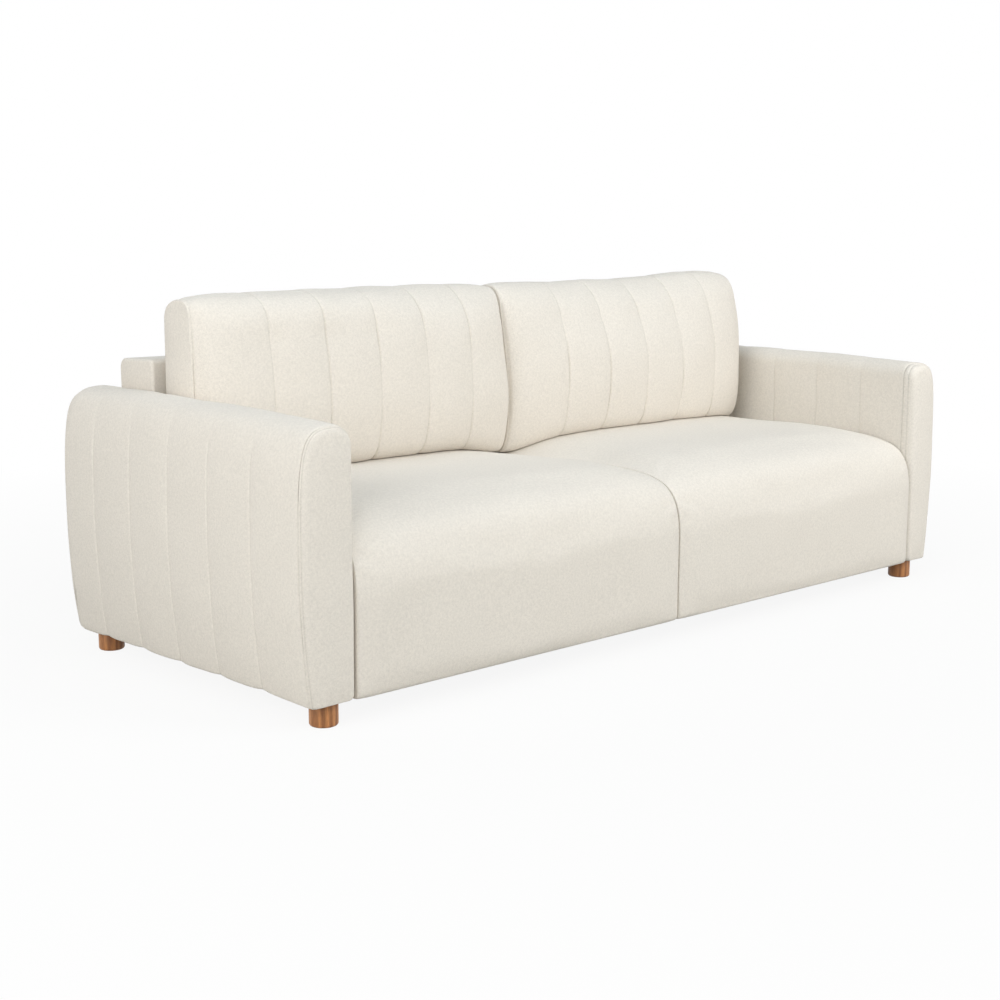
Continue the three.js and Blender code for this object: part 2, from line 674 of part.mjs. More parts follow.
for (const [side, turn] of Object.entries(sides)) {
  const zipMiddle = cushionPanelRear - cushionWrap - zipWidth;
  const zipSpan = [turn * (cushionInnerEdge + zipEndInset), turn * (cushionOuterEdge - zipEndInset)];
  const slotSpan = [zipSpan[0] - turn * fit, zipSpan[1] + turn * fit];
  const slot = block(
    slotSpan,
    [zipMiddle - zipWidth / 2 - fit, zipMiddle + zipWidth / 2 + fit],
    [cushionBottom - overrun, coreBottom + fit],
  );
  const cover = cushionForm(turn)
    .subtract(seatForm(turn, fit, seatRear + overrun))
    .subtract(solidOf(cushionSlab(turn, 0)))
    .subtract(solidOf(slot));
  add(`${side}_back_cushion_cover`, geometryOf(cover), upholstery);
  add(`${side}_back_cushion_core`, cushionSlab(turn, fit), foam);
  const zip = block(
    zipSpan,
    [zipMiddle - zipWidth / 2, zipMiddle + zipWidth / 2],
    [coreBottom - zipThickness, coreBottom],
  );
  add(`${side}_back_cushion_zip`, zip, zipTape);
}

// Dust cover: a cloth under the base frame, with a hole for the centre foot
const dustTop = underside - fit;
const dustCover = block(
  [-armInner + dustCoverInset, armInner - dustCoverInset],
  [frontRail[0] + dustCoverInset / 2, backRear - dustCoverInset / 2],
  [dustTop - dustCoverThickness, dustTop],
);
const dustHole = bar("z", footDiameter + 2 * dustCoverHoleMargin, 0, underside, [0, 0]);
add("dust_cover", geometryOf(solidOf(dustCover).subtract(solidOf(dustHole))), fibreFabric);

export default sofa;
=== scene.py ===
"""A two-seat tuxedo sofa with two loose back cushions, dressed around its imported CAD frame.

Every piece is in metres, in the CAD frame: X along the sofa to the right as seen from the front, Y from the
front to the back, Z up from the floor.
"""

import math

import bmesh
import bpy
from mathutils import Matrix, Vector, noise
from mathutils.geometry import interpolate_bezier


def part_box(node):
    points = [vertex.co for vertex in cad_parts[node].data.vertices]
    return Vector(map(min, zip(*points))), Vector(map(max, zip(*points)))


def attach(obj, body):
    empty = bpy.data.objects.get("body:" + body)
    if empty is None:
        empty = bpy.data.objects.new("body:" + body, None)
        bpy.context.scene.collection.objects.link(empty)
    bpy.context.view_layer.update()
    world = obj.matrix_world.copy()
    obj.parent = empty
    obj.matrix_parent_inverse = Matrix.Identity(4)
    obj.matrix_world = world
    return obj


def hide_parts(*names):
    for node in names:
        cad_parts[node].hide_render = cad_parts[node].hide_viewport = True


bl_info = {
    "name": "Tuxedo sofa",
    "version": (1, 0, 0),
    "blender": (4, 5, 0),
    "location": "3D View > Sidebar > Sofa",
    "description": "Upholsters a two-seat sofa over its frame, with channelled arms and back cushions",
    "category": "Object",
}

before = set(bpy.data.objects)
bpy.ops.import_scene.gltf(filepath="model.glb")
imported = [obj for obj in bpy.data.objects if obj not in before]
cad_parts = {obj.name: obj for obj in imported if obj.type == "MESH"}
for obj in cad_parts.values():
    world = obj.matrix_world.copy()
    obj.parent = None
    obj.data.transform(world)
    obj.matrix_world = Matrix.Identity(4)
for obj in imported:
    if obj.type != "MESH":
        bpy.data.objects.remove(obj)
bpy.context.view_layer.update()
SIDES = {"left": -1, "right": 1}

# Places that the frame gives, for the right half of the sofa
ARM_LOW, ARM_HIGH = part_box("right_arm_cover")
ARM_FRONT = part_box("right_arm_front_facing")[0].y
ARM_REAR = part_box("right_arm_rear_facing")[1].y
# The facings' seams lie in the rounded edges of the arm's ends
FRONT_SEAM, REAR_SEAM = ARM_FRONT + 0.012, ARM_REAR - 0.020
SEAT_LOW, SEAT_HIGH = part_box("right_seat_cover")
FOAM_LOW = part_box("right_seat_foam")[0]
CUSHION_LOW, CUSHION_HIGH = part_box("right_back_cushion_cover")
BACK_LOW, BACK_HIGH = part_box("back_cover")
PANEL_LOW, PANEL_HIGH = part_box("outside_back_panel")
UNDERSIDE = ARM_LOW.z
# Height of the seats' tops at their ends, where their crown starts
SEAT_EDGE = 0.400
# Vertices closer than this are one
SAME_PLACE = 1e-6


# Shapes

def bent_line(start, first_handle, second_handle, end, steps):
    """Points on one Bezier curve, without its first."""
    places = (Vector(place) for place in (start, first_handle, second_handle, end))
    return [Vector(point[:2]) for point in interpolate_bezier(*places, steps + 1)[1:]]


def traced(start, *stretches):
    """Points along an outline. A stretch is (steps, end) where it is straight, and (steps, first handle,
    second handle, end) where it bends."""
    points = [Vector(start)]
    for steps, *places in stretches:
        if len(places) == 1:
            begin, end = points[-1], Vector(places[0])
            points += [begin.lerp(end, step / steps) for step in range(1, steps + 1)]
        else:
            points += bent_line(points[-1], *places, steps)
    return points


def fullness(share, flatness):
    """How full a soft form is at a share of its width: 0 at both ends and 1 in the middle."""
    return math.sqrt(max(0.0, 1 - abs(2 * share - 1) ** flatness))


def new_form():
    """An empty mesh with what a sewn piece carries: its seams, where it is held and the map of its weave."""
    bm = bmesh.new()
    bm.verts.layers.float.new("seam")
    bm.verts.layers.float.new("held")
    bm.loops.layers.uv.new("weave")
    return bm


def drape(rings, axis, closed=True):
    """Lays a grid of cloth through rings of places, a row to each, and sews it to itself where a ring closes.
    Its weave runs along the axis one way and round the rings the other. Returns the mesh and its rows."""
    bm = new_form()
    columns = len(rings[0]) + closed
    bmesh.ops.create_grid(bm, x_segments=columns - 1, y_segments=len(rings) - 1, size=1)
    bm.verts.ensure_lookup_table()
    bm.verts.index_update()
    rows = [list(bm.verts[start:start + columns]) for start in range(0, len(bm.verts), columns)]
    for row, ring in zip(rows, rings):
        for vert, place in zip(row, ring + ring[:closed]):
            vert.co = place
    middle = rows[len(rows) // 2]
    reach = [0.0]
    for first, second in zip(middle, middle[1:]):
        reach.append(reach[-1] + (second.co - first.co).length)
    cloth = bm.loops.layers.uv["weave"]
    for face in bm.faces:
        for loop in face.loops:
            loop[cloth].uv = (loop.vert.co[axis], reach[loop.vert.index % columns])
    if closed:
        bmesh.ops.weld_verts(bm, targetmap={row[-1]: row[0] for row in rows})
        rows = [row[:-1] for row in rows]
    return bm, rows


def close_end(bm, ring, axis):
    """Closes a ring of vertices with a flat end, its weave laid as seen along the axis."""
    edges = [bm.edges.get(pair) or bm.edges.new(pair) for pair in zip(ring, ring[1:] + ring[:1])]
    ends = bmesh.ops.edgeloop_fill(bm, edges=edges)["faces"]
    face_cloth(axis, bm, bmesh.ops.triangulate(bm, faces=ends, ngon_method="BEAUTY")["faces"])


def close_panel(bm, ring, last):
    """Closes a narrow ring along its middle: each place joins the one across from it. Last is the sum of the
    numbers of two such places."""
    across = {}
    for number, vert in enumerate(ring):
        other = ring[(last - number) % len(ring)]
        if other not in across and other is not vert:
            middle = (vert.co + other.co) / 2
            vert.co, other.co = middle, middle.copy()
            across[vert] = other
    bmesh.ops.weld_verts(bm, targetmap=across)


def narrowed(ring, axis, low, high, share, last):
    """A ring drawn in towards a line in its middle, which runs upright from low to high. Places across from
    each other meet at one height: last is the sum of their numbers."""
    across = 1 - axis
    middle = (max(place[across] for place in ring) + min(place[across] for place in ring)) / 2
    drawn = []
    for number, place in enumerate(ring):
        other = ring[(last - number) % len(ring)]
        heart = place.copy()
        heart[across] = middle
        heart.z = min(max((place.z + other.z) / 2, low), high)
        drawn.append(heart.lerp(place, share))
    return drawn


def face_cloth(axis, bm, faces=None):
    """Gives faces a map in metres for the weave, looking along the axis."""
    cloth = bm.loops.layers.uv["weave"]
    across = 1 - axis if axis < 2 else 0
    up = 2 if axis < 2 else 1
    for face in faces or bm.faces:
        for loop in face.loops:
            loop[cloth].uv = (loop.vert.co[across], loop.vert.co[up])


def mark_seam(bm, rings, numbers, layer="seam", fade=None):
    """Marks rings of vertices as a seam: the value is how much of the seam's depth a ring takes, below zero
    where it stands proud. In the seam layer it also darkens the upholstery's colour, as painted shade in the
    seam. Fade gives how much of it is left at a place."""
    seam = bm.verts.layers.float[layer]
    for number, depth in numbers.items():
        for vert in rings[number]:
            mark = depth * (fade(vert.co) if fade else 1)
            if abs(mark) > abs(vert[seam]):
                vert[seam] = mark


def eased(value, start, end):
    """From 0 at the start to 1 at the end, smoothly."""
    share = min(1.0, max(0.0, (value - start) / (end - start)))
    return share * share * (3 - 2 * share)


def round_edges(bm, edges, radius, segments):
    """Rounds edges over in a number of segments."""
    bmesh.ops.bevel(
        bm, geom=edges, offset=radius, segments=segments, profile=0.5, affect="EDGES", material=-1,
    )


def finish_mesh(bm, name, facing=None):
    """Merges doubles, turns the faces outwards, or a flat piece's along the axis that it faces, and makes an
    object that sits at the origin."""
    bmesh.ops.remove_doubles(bm, verts=bm.verts, dist=SAME_PLACE)
    if facing is None:
        bmesh.ops.recalc_face_normals(bm, faces=bm.faces)
    mesh = bpy.data.meshes.new(name)
    bm.to_mesh(mesh)
    bm.free()
    mesh.shade_smooth()
    if facing is not None and mesh.polygons[0].normal[facing] < 0:
        mesh.flip_normals()
    piece = bpy.data.objects.new(name, mesh)
    bpy.context.scene.collection.objects.link(piece)
    return piece


def finish_piece(piece, finish, node):
    """Gives a piece its material and its body, and hides the CAD node that it stands for."""
    piece.data.materials.append(material_of(finish))
    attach(piece, "root")
    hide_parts(node)


def wall(piece, thickness):
    """Gives a cover the thickness of its fabric and the fibre quilted to it."""
    modifier = piece.modifiers.new("Fabric and fibre", "SOLIDIFY")
    modifier.thickness = thickness
    modifier.offset = -1


def finer(piece):
    """Rounds a piece with one subdivision."""
    modifier = piece.modifiers.new("Rounded", "SUBSURF")
    modifier.levels = modifier.render_levels = 1


# How hard and for how many frames a cover is blown up, and the furthest that it moves
STUFFING_PRESSURE = 3.0
STUFFING_FRAMES = 20
STUFFING_REACH = 0.006


def stuff(piece, share=None):
    """Blows a cover up under air pressure, held at its marked seams. Share gives how much of its move a place
    keeps."""
    rest = [vert.co.copy() for vert in piece.data.vertices]
    group = piece.vertex_groups.new(name="held")
    for number, value in enumerate(piece.data.attributes["held"].data):
        if value.value > 0:
            group.add([number], value.value, "REPLACE")
    cloth = piece.modifiers.new("Stuffing", "CLOTH")
    cloth.settings.quality = 4
    cloth.settings.use_pressure = True
    cloth.settings.uniform_pressure_force = STUFFING_PRESSURE
    cloth.settings.effector_weights.gravity = 0
    cloth.settings.vertex_group_mass = "held"
    cloth.point_cache.frame_start = 1
    cloth.point_cache.frame_end = STUFFING_FRAMES
    scene = bpy.context.scene
    for number in range(1, STUFFING_FRAMES + 1):
        scene.frame_set(number)
    view = piece.evaluated_get(bpy.context.evaluated_depsgraph_get())
    blown = [vert.co.copy() for vert in view.data.vertices]
    piece.modifiers.remove(cloth)
    piece.vertex_groups.remove(group)
    scene.frame_set(1)
    for vert, start, end in zip(piece.data.vertices, rest, blown):
        move = end - start
        if move.length > STUFFING_REACH:
            move *= STUFFING_REACH / move.length
        vert.co = start + move * (share(start) if share else 1)


def settle(piece, size, height, seed):
    """Lets the filling lie a little unevenly under the cover: hollows and rises of that size and height."""
    held = piece.data.attributes["held"].data
    normals = [vert.normal.copy() for vert in piece.data.vertices]
    for vert, normal, pinned in zip(piece.data.vertices, normals, held):
        rise = noise.noise(vert.co / size + Vector((seed, seed, seed)))
        vert.co += normal * rise * height * (1 - pinned.value)


def draw_in(piece, depth):
    """Draws the cover in along its seams."""
    seam = piece.data.attributes["seam"].data
    normals = [vert.normal.copy() for vert in piece.data.vertices]
    for vert, normal, share in zip(piece.data.vertices, normals, seam):
        vert.co -= normal * depth * share.value


# Materials

def linear(colour):
    """An sRGB hex colour as the linear values that Blender takes."""
    parts = [int(colour[i:i + 2], 16) / 255 for i in (1, 3, 5)]
    return tuple(p / 12.92 if p <= 0.04045 else ((p + 0.055) / 1.055) ** 2.4 for p in parts) + (1.0,)


def add_node(tree, kind, inputs=None, **settings):
    """Adds a node, sets its properties, and sets or links its inputs. A node given as an input stands for its
    first output."""
    node = tree.nodes.new(f"ShaderNode{kind}")
    for name, value in settings.items():
        setattr(node, name, value)
    for name, value in (inputs or {}).items():
        if isinstance(value, bpy.types.Node):
            value = value.outputs[0]
        if isinstance(value, bpy.types.NodeSocket):
            tree.links.new(value, node.inputs[name])
        else:
            node.inputs[name].default_value = value
    return node


def tinted(tree, colour, pattern, low, high):
    """A colour that a pattern from 0 to 1 makes darker and lighter, from low to high."""
    shade = add_node(tree, "MapRange", {"Value": pattern, 3: low, 4: high})
    return add_node(tree, "VectorMath", {0: colour[:3], "Scale": shade}, operation="SCALE")


def woven_chenille(tree, place, colour):
    """Upholstery: a close woven chenille of undyed cotton and polyester, matt and soft, with small nubs."""
    cloth = add_node(tree, "UVMap", uv_map="weave")
    # Nubs of yarn: the real ones are about 1.2 mm apart, drawn at 2.2 mm because finer ones don't show
    nubs = add_node(
        tree, "TexVoronoi", {"Vector": cloth, "Scale": 1 / 0.0022, "Randomness": 0.55},
        voronoi_dimensions="2D",
    ).outputs["Distance"]
    # Slubs: thicker and thinner places in the yarn, about 5 mm long
    slubs = add_node(tree, "TexNoise", {"Vector": place, "Scale": 1 / 0.0055, "Detail": 3.0}).outputs["Fac"]
    # Broad unevenness where the pile lies one way or the other, about a hand wide
    shading = add_node(tree, "TexNoise", {"Vector": place, "Scale": 1 / 0.11, "Detail": 2.0}).outputs["Fac"]
    # Painted shade: the seam marks darken the cover's colour along its seams, where shade falls into their
    # grooves
    seam = add_node(tree, "Attribute", attribute_name="seam", attribute_type="GEOMETRY").outputs["Fac"]
    shade = add_node(tree, "MapRange", {"Value": slubs, 3: 0.855, 4: 1.12})
    for darkening in (
        {"Value": shading, 3: 0.985, 4: 1.015},
        {"Value": nubs, 1: 0.0, 2: 0.8, 3: 1.05, 4: 0.90},
        {"Value": seam, 1: 0.1, 2: 1.0, 3: 1.0, 4: 0.84},
    ):
        darker = add_node(tree, "MapRange", darkening)
        shade = add_node(tree, "Math", {0: shade, 1: darker}, operation="MULTIPLY")
    shaded = add_node(tree, "VectorMath", {0: colour[:3], "Scale": shade}, operation="SCALE")
    height = add_node(tree, "Math", {0: slubs, 1: nubs}, operation="SUBTRACT")
    bump = add_node(tree, "Bump", {"Height": height, "Strength": 0.35, "Distance": 0.0009})
    return add_node(tree, "BsdfPrincipled", {
        "Base Color": shaded, "Roughness": 0.95, "Specular IOR Level": 0.2, "Sheen Weight": 0.12,
        "Sheen Roughness": 0.6, "Normal": bump,
    })


def oiled_wood(tree, place, colour):
    """Feet: turned and oiled acacia, warm brown, with straight upright grain and fine dark pores."""
    # Growth rings cut along their length: bands about 7 mm wide that waver upwards
    along = add_node(tree, "Mapping", {"Vector": place, "Scale": (1.0, 1.0, 0.12)})
    bands = add_node(
        tree, "TexWave",
        {"Vector": along, "Scale": 1 / 0.045, "Distortion": 5.0, "Detail": 3.0, "Detail Scale": 1.4},
        bands_direction="X",
    ).outputs["Fac"]
    # Pores: dark strokes about 0.6 mm wide and 12 mm long
    stroke = add_node(tree, "Mapping", {"Vector": place, "Scale": (1.0, 1.0, 0.06)})
    pores = add_node(tree, "TexNoise", {"Vector": stroke, "Scale": 1 / 0.0011, "Detail": 2.0}).outputs["Fac"]
    pore = add_node(tree, "MapRange", {"Value": pores, 1: 0.42, 2: 0.62, 3: 0.78, 4: 1.04})
    tone = add_node(tree, "Mix", {0: bands, 6: linear("#96623a"), 7: colour}, data_type="RGBA").outputs[2]
    shaded = add_node(tree, "VectorMath", {0: tone, "Scale": pore}, operation="SCALE")
    bump = add_node(tree, "Bump", {"Height": pores, "Strength": 0.25, "Distance": 0.0003})
    rough = add_node(tree, "MapRange", {"Value": bands, 3: 0.52, 4: 0.42})
    return add_node(tree, "BsdfPrincipled", {
        "Base Color": shaded, "Roughness": rough, "IOR": 1.5, "Normal": bump,
    })


def planed_pine(tree, place, colour):
    """Frame boards: planed pine, pale yellow, with darker winter growth every few millimetres."""
    # Growth rings about 5 mm apart, drawn out along the boards
    along = add_node(tree, "Mapping", {"Vector": place, "Scale": (0.2, 1.0, 1.0)})
    rings = add_node(
        tree, "TexWave", {"Vector": along, "Scale": 1 / 0.03, "Distortion": 4.0, "Detail": 2.0},
        bands_direction="Z",
    ).outputs["Fac"]
    tone = add_node(tree, "Mix", {0: rings, 6: linear("#c69a5e"), 7: colour}, data_type="RGBA").outputs[2]
    bump = add_node(tree, "Bump", {"Height": rings, "Strength": 0.2, "Distance": 0.0002})
    return add_node(tree, "BsdfPrincipled", {"Base Color": tone, "Roughness": 0.7, "Normal": bump})


def plated_steel(tree, place, colour):
    """Springs, pins and bolts: drawn steel with a thin zinc plating, grey and slightly cloudy."""
    # Spangle of the plating, about 3 mm across
    cloud = add_node(tree, "TexNoise", {"Vector": place, "Scale": 1 / 0.003, "Detail": 2.0}).outputs["Fac"]
    rough = add_node(tree, "MapRange", {"Value": cloud, 3: 0.28, 4: 0.45})
    return add_node(tree, "BsdfPrincipled", {"Base Color": colour, "Metallic": 1.0, "Roughness": rough})


def cut_foam(tree, place, colour):
    """Fillings: cut polyurethane foam, pale yellow, matt, with open pores."""
    # Pores: real ones are about 0.7 mm across, drawn at 1.5 mm
    pores = add_node(tree, "TexVoronoi", {"Vector": place, "Scale": 1 / 0.0015}).outputs["Distance"]
    bump = add_node(tree, "Bump", {"Height": pores, "Strength": 0.6, "Distance": 0.0008})
    return add_node(tree, "BsdfPrincipled", {
        "Base Color": tinted(tree, colour, pores, 1.0, 0.85), "Roughness": 0.95, "Specular IOR Level": 0.15,
        "Normal": bump,
    })


def spunbond_cloth(tree, place, colour):
    """Dust cover: spunbonded polypropylene, near black, pressed in a pattern of small dots."""
    # Bonding dots, 2 mm apart, in a tangle of fibres
    dots = add_node(
        tree, "TexVoronoi", {"Vector": place, "Scale": 1 / 0.002, "Randomness": 0.0}, voronoi_dimensions="2D",
    ).outputs["Distance"]
    fibres = add_node(tree, "TexNoise", {"Vector": place, "Scale": 1 / 0.004, "Detail": 4.0}).outputs["Fac"]
    bump = add_node(tree, "Bump", {"Height": dots, "Strength": 0.5, "Distance": 0.0004})
    return add_node(tree, "BsdfPrincipled", {
        "Base Color": tinted(tree, colour, fibres, 0.7, 1.3), "Roughness": 0.75, "Normal": bump,
    })


def woven_band(tree, place, colour, rib):
    """Webbing and zip tape: a close woven band of polyester, with ribs across it."""
    ribs = add_node(
        tree, "TexWave", {"Vector": place, "Scale": math.pi / (10 * rib)}, bands_direction="X",
    ).outputs["Fac"]
    bump = add_node(tree, "Bump", {"Height": ribs, "Strength": 0.5, "Distance": 0.0004})
    return add_node(tree, "BsdfPrincipled", {
        "Base Color": tinted(tree, colour, ribs, 0.75, 1.1), "Roughness": 0.8, "Normal": bump,
    })


def seen(tree):
    """1 where the camera, a gloss or a glass sees a surface, and 0 for the light that it gives off."""
    path = add_node(tree, "LightPath").outputs
    glossy = add_node(tree, "Math", {0: path["Is Camera Ray"], 1: path["Is Glossy Ray"]}, operation="MAXIMUM")
    return add_node(tree, "Math", {0: glossy, 1: path["Is Transmission Ray"]}, operation="MAXIMUM")


def matt_floor(tree, place, colour):
    """Floor: matt and pale, and white to the camera but for the sofa's shadow, which fades out far away."""
    reach = add_node(tree, "VectorMath", {0: place}, operation="LENGTH").outputs["Value"]
    far = add_node(tree, "MapRange", {"Value": reach, 1: 1.2, 2: 3.2, 3: 0.9, 4: 1.0})
    share = add_node(tree, "Math", {0: far, 1: seen(tree)}, operation="MULTIPLY")
    matt = add_node(tree, "BsdfDiffuse", {"Color": colour, "Roughness": 1.0})
    white = add_node(tree, "Emission", {"Color": (1, 1, 1, 1), "Strength": 1.0})
    return add_node(tree, "MixShader", {0: share, 1: matt, 2: white})


# By finish: its material, the function that makes its shader, and the sizes of its pattern
FINISHES = {
    "upholstery": ("woven chenille", woven_chenille),
    "foot_wood": ("turned oiled acacia", oiled_wood),
    "timber": ("planed pine", planed_pine),
    "steel": ("zinc-plated steel", plated_steel),
    "foam": ("cut foam", cut_foam),
    "dust_cloth": ("spunbonded cloth", spunbond_cloth),
    "webbing": ("polyester webbing", woven_band, 0.002),
    "zip_tape": ("nylon zip tape", woven_band, 0.0012),
    "floor": ("matt white floor", matt_floor),
}


def material_of(finish):
    """The material of a finish, made when it is first asked for."""
    name, shader_of, *sizes = FINISHES[finish]
    material = bpy.data.materials.get(name)
    if not material:
        material = bpy.data.materials.new(name)
        material.use_nodes = True
        tree = material.node_tree
        tree.nodes.clear()
        place = add_node(tree, "TexCoord").outputs["Object"]
        colour = tuple(getattr(bpy.context.scene.sofa_colours, finish))
        add_node(tree, "OutputMaterial", {"Surface": shader_of(tree, place, colour, *sizes)})
    return material


# Sizes and colours that a user would change

def length_property(name, description, default):
    """A length in metres."""
    return bpy.props.FloatProperty(
        name=name, description=description, default=default, min=0.0, precision=4, unit="LENGTH",
        subtype="DISTANCE",
    )


def colour_property(name, description, default):
    """A colour, given as sRGB hex."""
    return bpy.props.FloatVectorProperty(
        name=name, description=description, default=linear(default), size=4, min=0.0, max=1.0,
        subtype="COLOR",
    )


class SofaSizes(bpy.types.PropertyGroup):
    """Sizes of the upholstery that the frame doesn't give"""

    channel_pitch: length_property("Arm channel", "Seam to seam on the arms, from the front", 0.152)
    arm_puff: length_property("Arm puff", "How far an arm's channel swells past its seams", 0.0025)
    cushion_pitch: length_property("Cushion channel", "Seam to seam on the back cushions", 0.1515)
    cushion_puff: length_property("Cushion puff", "How far a cushion's channel swells past its seams", 0.005)
    seam_depth: length_property("Seam depth", "How deep the thread draws the cover in", 0.0022)
    facing_border: length_property("Facing border", "Width of the rounded border of an arm's end", 0.026)
    seat_crown: length_property("Seat crown", "How much higher a seat is in its middle", 0.034)
    cover_thickness: length_property("Cover", "Thickness of the fabric and its fibre", 0.004)


class SofaColours(bpy.types.PropertyGroup):
    """Colours of the finishes"""

    upholstery: colour_property("Upholstery", "Chenille of the whole sofa", "#e5ded3")
    foot_wood: colour_property("Feet", "Oiled wood of the feet", "#c98a55")
    timber: colour_property("Frame", "Pine boards of the frame", "#e0c08c")
    steel: colour_property("Steel", "Plating of the springs, pins and bolts", "#9a9ca0")
    foam: colour_property("Foam", "Foam of the seats and the cushions' cores", "#efe6bd")
    dust_cloth: colour_property("Dust cover", "Cloth under the sofa", "#26262a")
    webbing: colour_property("Webbing", "Bands across the back", "#3a3a3d")
    zip_tape: colour_property("Zip", "Tape of the cushions' zips", "#d9d2c4")
    floor: colour_property("Floor", "Floor under the sofa", "#cfcfcb")


# Pieces

# Beside a seam, as (distance from it, share of its depth): the cover stands proud over the turned-in edges,
# then lies flat
SEAM_SIDE = ((0.0, 1.0), (0.0015, 0.35), (0.0035, -0.25), (0.009, 0.0))


def channel_stations(seams, spacing):
    """Places along a row of channels, close together by each seam, as (place, channel share, seam share)."""
    reach = SEAM_SIDE[-1][0]
    stations = []
    for start, end in zip(seams, seams[1:]):
        width = end - start
        inner = width - 2 * reach
        steps = max(2, round(inner / spacing))
        middle = [(reach + inner * step / steps, 0.0) for step in range(1, steps)]
        far = [(width - offset, mark) for offset, mark in reversed(SEAM_SIDE[1:])]
        stations += [(start + offset, offset / width, mark) for offset, mark in (*SEAM_SIDE, *middle, *far)]
    return stations + [(seams[-1], 0.0, 1.0)]


def pulled_in(share):
    """How much of its puff a channel lacks at a share of its width: none in the middle, all at its seams."""
    return abs(2 * share - 1) ** 4


# How each arm lies: how much further back the seam of its front facing is on the inner side, how wide that
# facing's rounded edge is there, and how much the arm narrows on its outer side towards the front
ARM_LIE = {"left": (0.0, 0.008, 0.0), "right": (0.020, 0.018, 0.007)}


def arm_outline(inner_inset, outer_inset, top_inset, lift):
    """An arm's section from its hem inside, over the top, to its hem outside. X is measured out from the
    inner face."""
    inner, outer = inner_inset, ARM_HIGH.x - ARM_LOW.x - outer_inset
    crest, low = ARM_HIGH.z - top_inset, UNDERSIDE + lift
    widest = UNDERSIDE + (ARM_HIGH.z - UNDERSIDE) * 0.52
    # The hem's rounding, how far it stands in on the outer side, and the cloth that lies under the arm
    hem, toe, tuck = 0.012, 0.020, 0.008
    # The shoulders turn tighter as the section shrinks
    round_in = max(0.014, 0.038 - 0.6 * inner_inset)
    shoulder = max(0.25, 1 - outer_inset / 0.05)
    waist, elbow = Vector((outer, widest)), Vector((outer, (widest + low) / 2))
    foot = Vector((outer - toe, low + hem / 2))
    return traced(
        (inner + hem + tuck, low),
        (1, (inner + hem, low)),
        (3, (inner + hem / 2, low), (inner, low + hem / 2), (inner, low + hem)),
        (36, (inner, crest - round_in)),
        (8, (inner, crest - round_in * 0.45), (inner + round_in * 0.45, crest), (inner + round_in, crest)),
        (24, (outer - 0.016 * shoulder, crest), (outer, crest - 0.020 * shoulder), waist),
        (19, waist.lerp(elbow, 2 / 3), foot.lerp(elbow, 2 / 3), foot),
        (3, (foot.x, low + hem / 4), (foot.x - hem / 4, low), (foot.x - hem / 2, low)),
        (1, (foot.x - hem - tuck, low)),
    )


def arm_ring(turn, y, insets, back):
    """An arm's section at a place along it, with its inner side set back."""
    return [
        Vector((turn * (ARM_LOW.x + x), y + back * (1 - eased(x, 0.02, 0.07)), z))
        for x, z in arm_outline(*insets)
    ]


def rounding(reach, radius):
    """How far a rounded edge has turned in, at a reach past the start of its rounding."""
    share = min(1.0, max(0.0, reach / radius))
    return radius * (1 - math.sqrt(1 - share * share))


def end_dips(side, y):
    """How far a sleeve has turned in at a place: at its inner side, its outer side and its crest, and how far
    its hem rises."""
    if y > 0:
        turned, crest = (rounding(y - (ARM_REAR - radius), radius) for radius in (0.030, 0.050))
        return turned, turned, crest - 0.003 * eased(y, 0.0, 0.15), crest * 0.7
    # The crest falls towards the front, the outer side narrows and the hem comes down
    front = eased(y, -0.30, -0.44)
    inner = rounding(FRONT_SEAM + 0.006 - y, 0.030)
    outer = rounding(FRONT_SEAM + 0.012 - y, 0.040) + ARM_LIE[side][2] * front
    crest = rounding(FRONT_SEAM + 0.014 - y, 0.040) + 0.012 * eased(y, -0.08, -0.50)
    return inner, outer, crest, -0.003 * front


# Height at which the arm's sides have turned into its crest
ARM_SHOULDER = 0.59


def channel_pull(place):
    """How deep a channel seam of an arm is drawn at a place: it runs out below the crest, sooner and more on
    the outer side than on the inner."""
    outer = eased(abs(place.x), ARM_LOW.x + 0.03, ARM_HIGH.x - 0.03)
    return (0.6 - 0.1 * outer) * (1 - 0.9 * eased(place.z, 0.56 - 0.06 * outer, ARM_SHOULDER))


def end_pull(place):
    """How much deeper the double seam at an arm's end is drawn at a place: more over the crest."""
    return 1 + 0.4 * eased(place.z, 0.53, ARM_SHOULDER)


# The double seam at an arm's end: how deep the sleeve's edge is drawn, and how deep each ring of the facing
SLEEVE_SEAM = 0.42
FACING_SEAMS = {0: SLEEVE_SEAM, 1: 0.12, 3: -0.12, 4: 0.8, 5: -0.12}
# Degrees by which a facing's border has turned over at each of its rings, and the size of the rings that
# follow on its face, down to an upright line in its middle
FACING_TURNS = (0, 5, 12, 20, 26, 32, 40, 50, 60, 70, 80, 90)
FACING_FACE = (0.93, 0.8, 0.6, 0.4, 0.2, 0.0)
# That line, from low to high, and how far the face swells there
FACING_LINE = (UNDERSIDE + 0.06, ARM_HIGH.z - 0.085)
FACING_SWELL = 0.0035
# The least width of an arm's last channel
LEAST_CHANNEL = 0.05


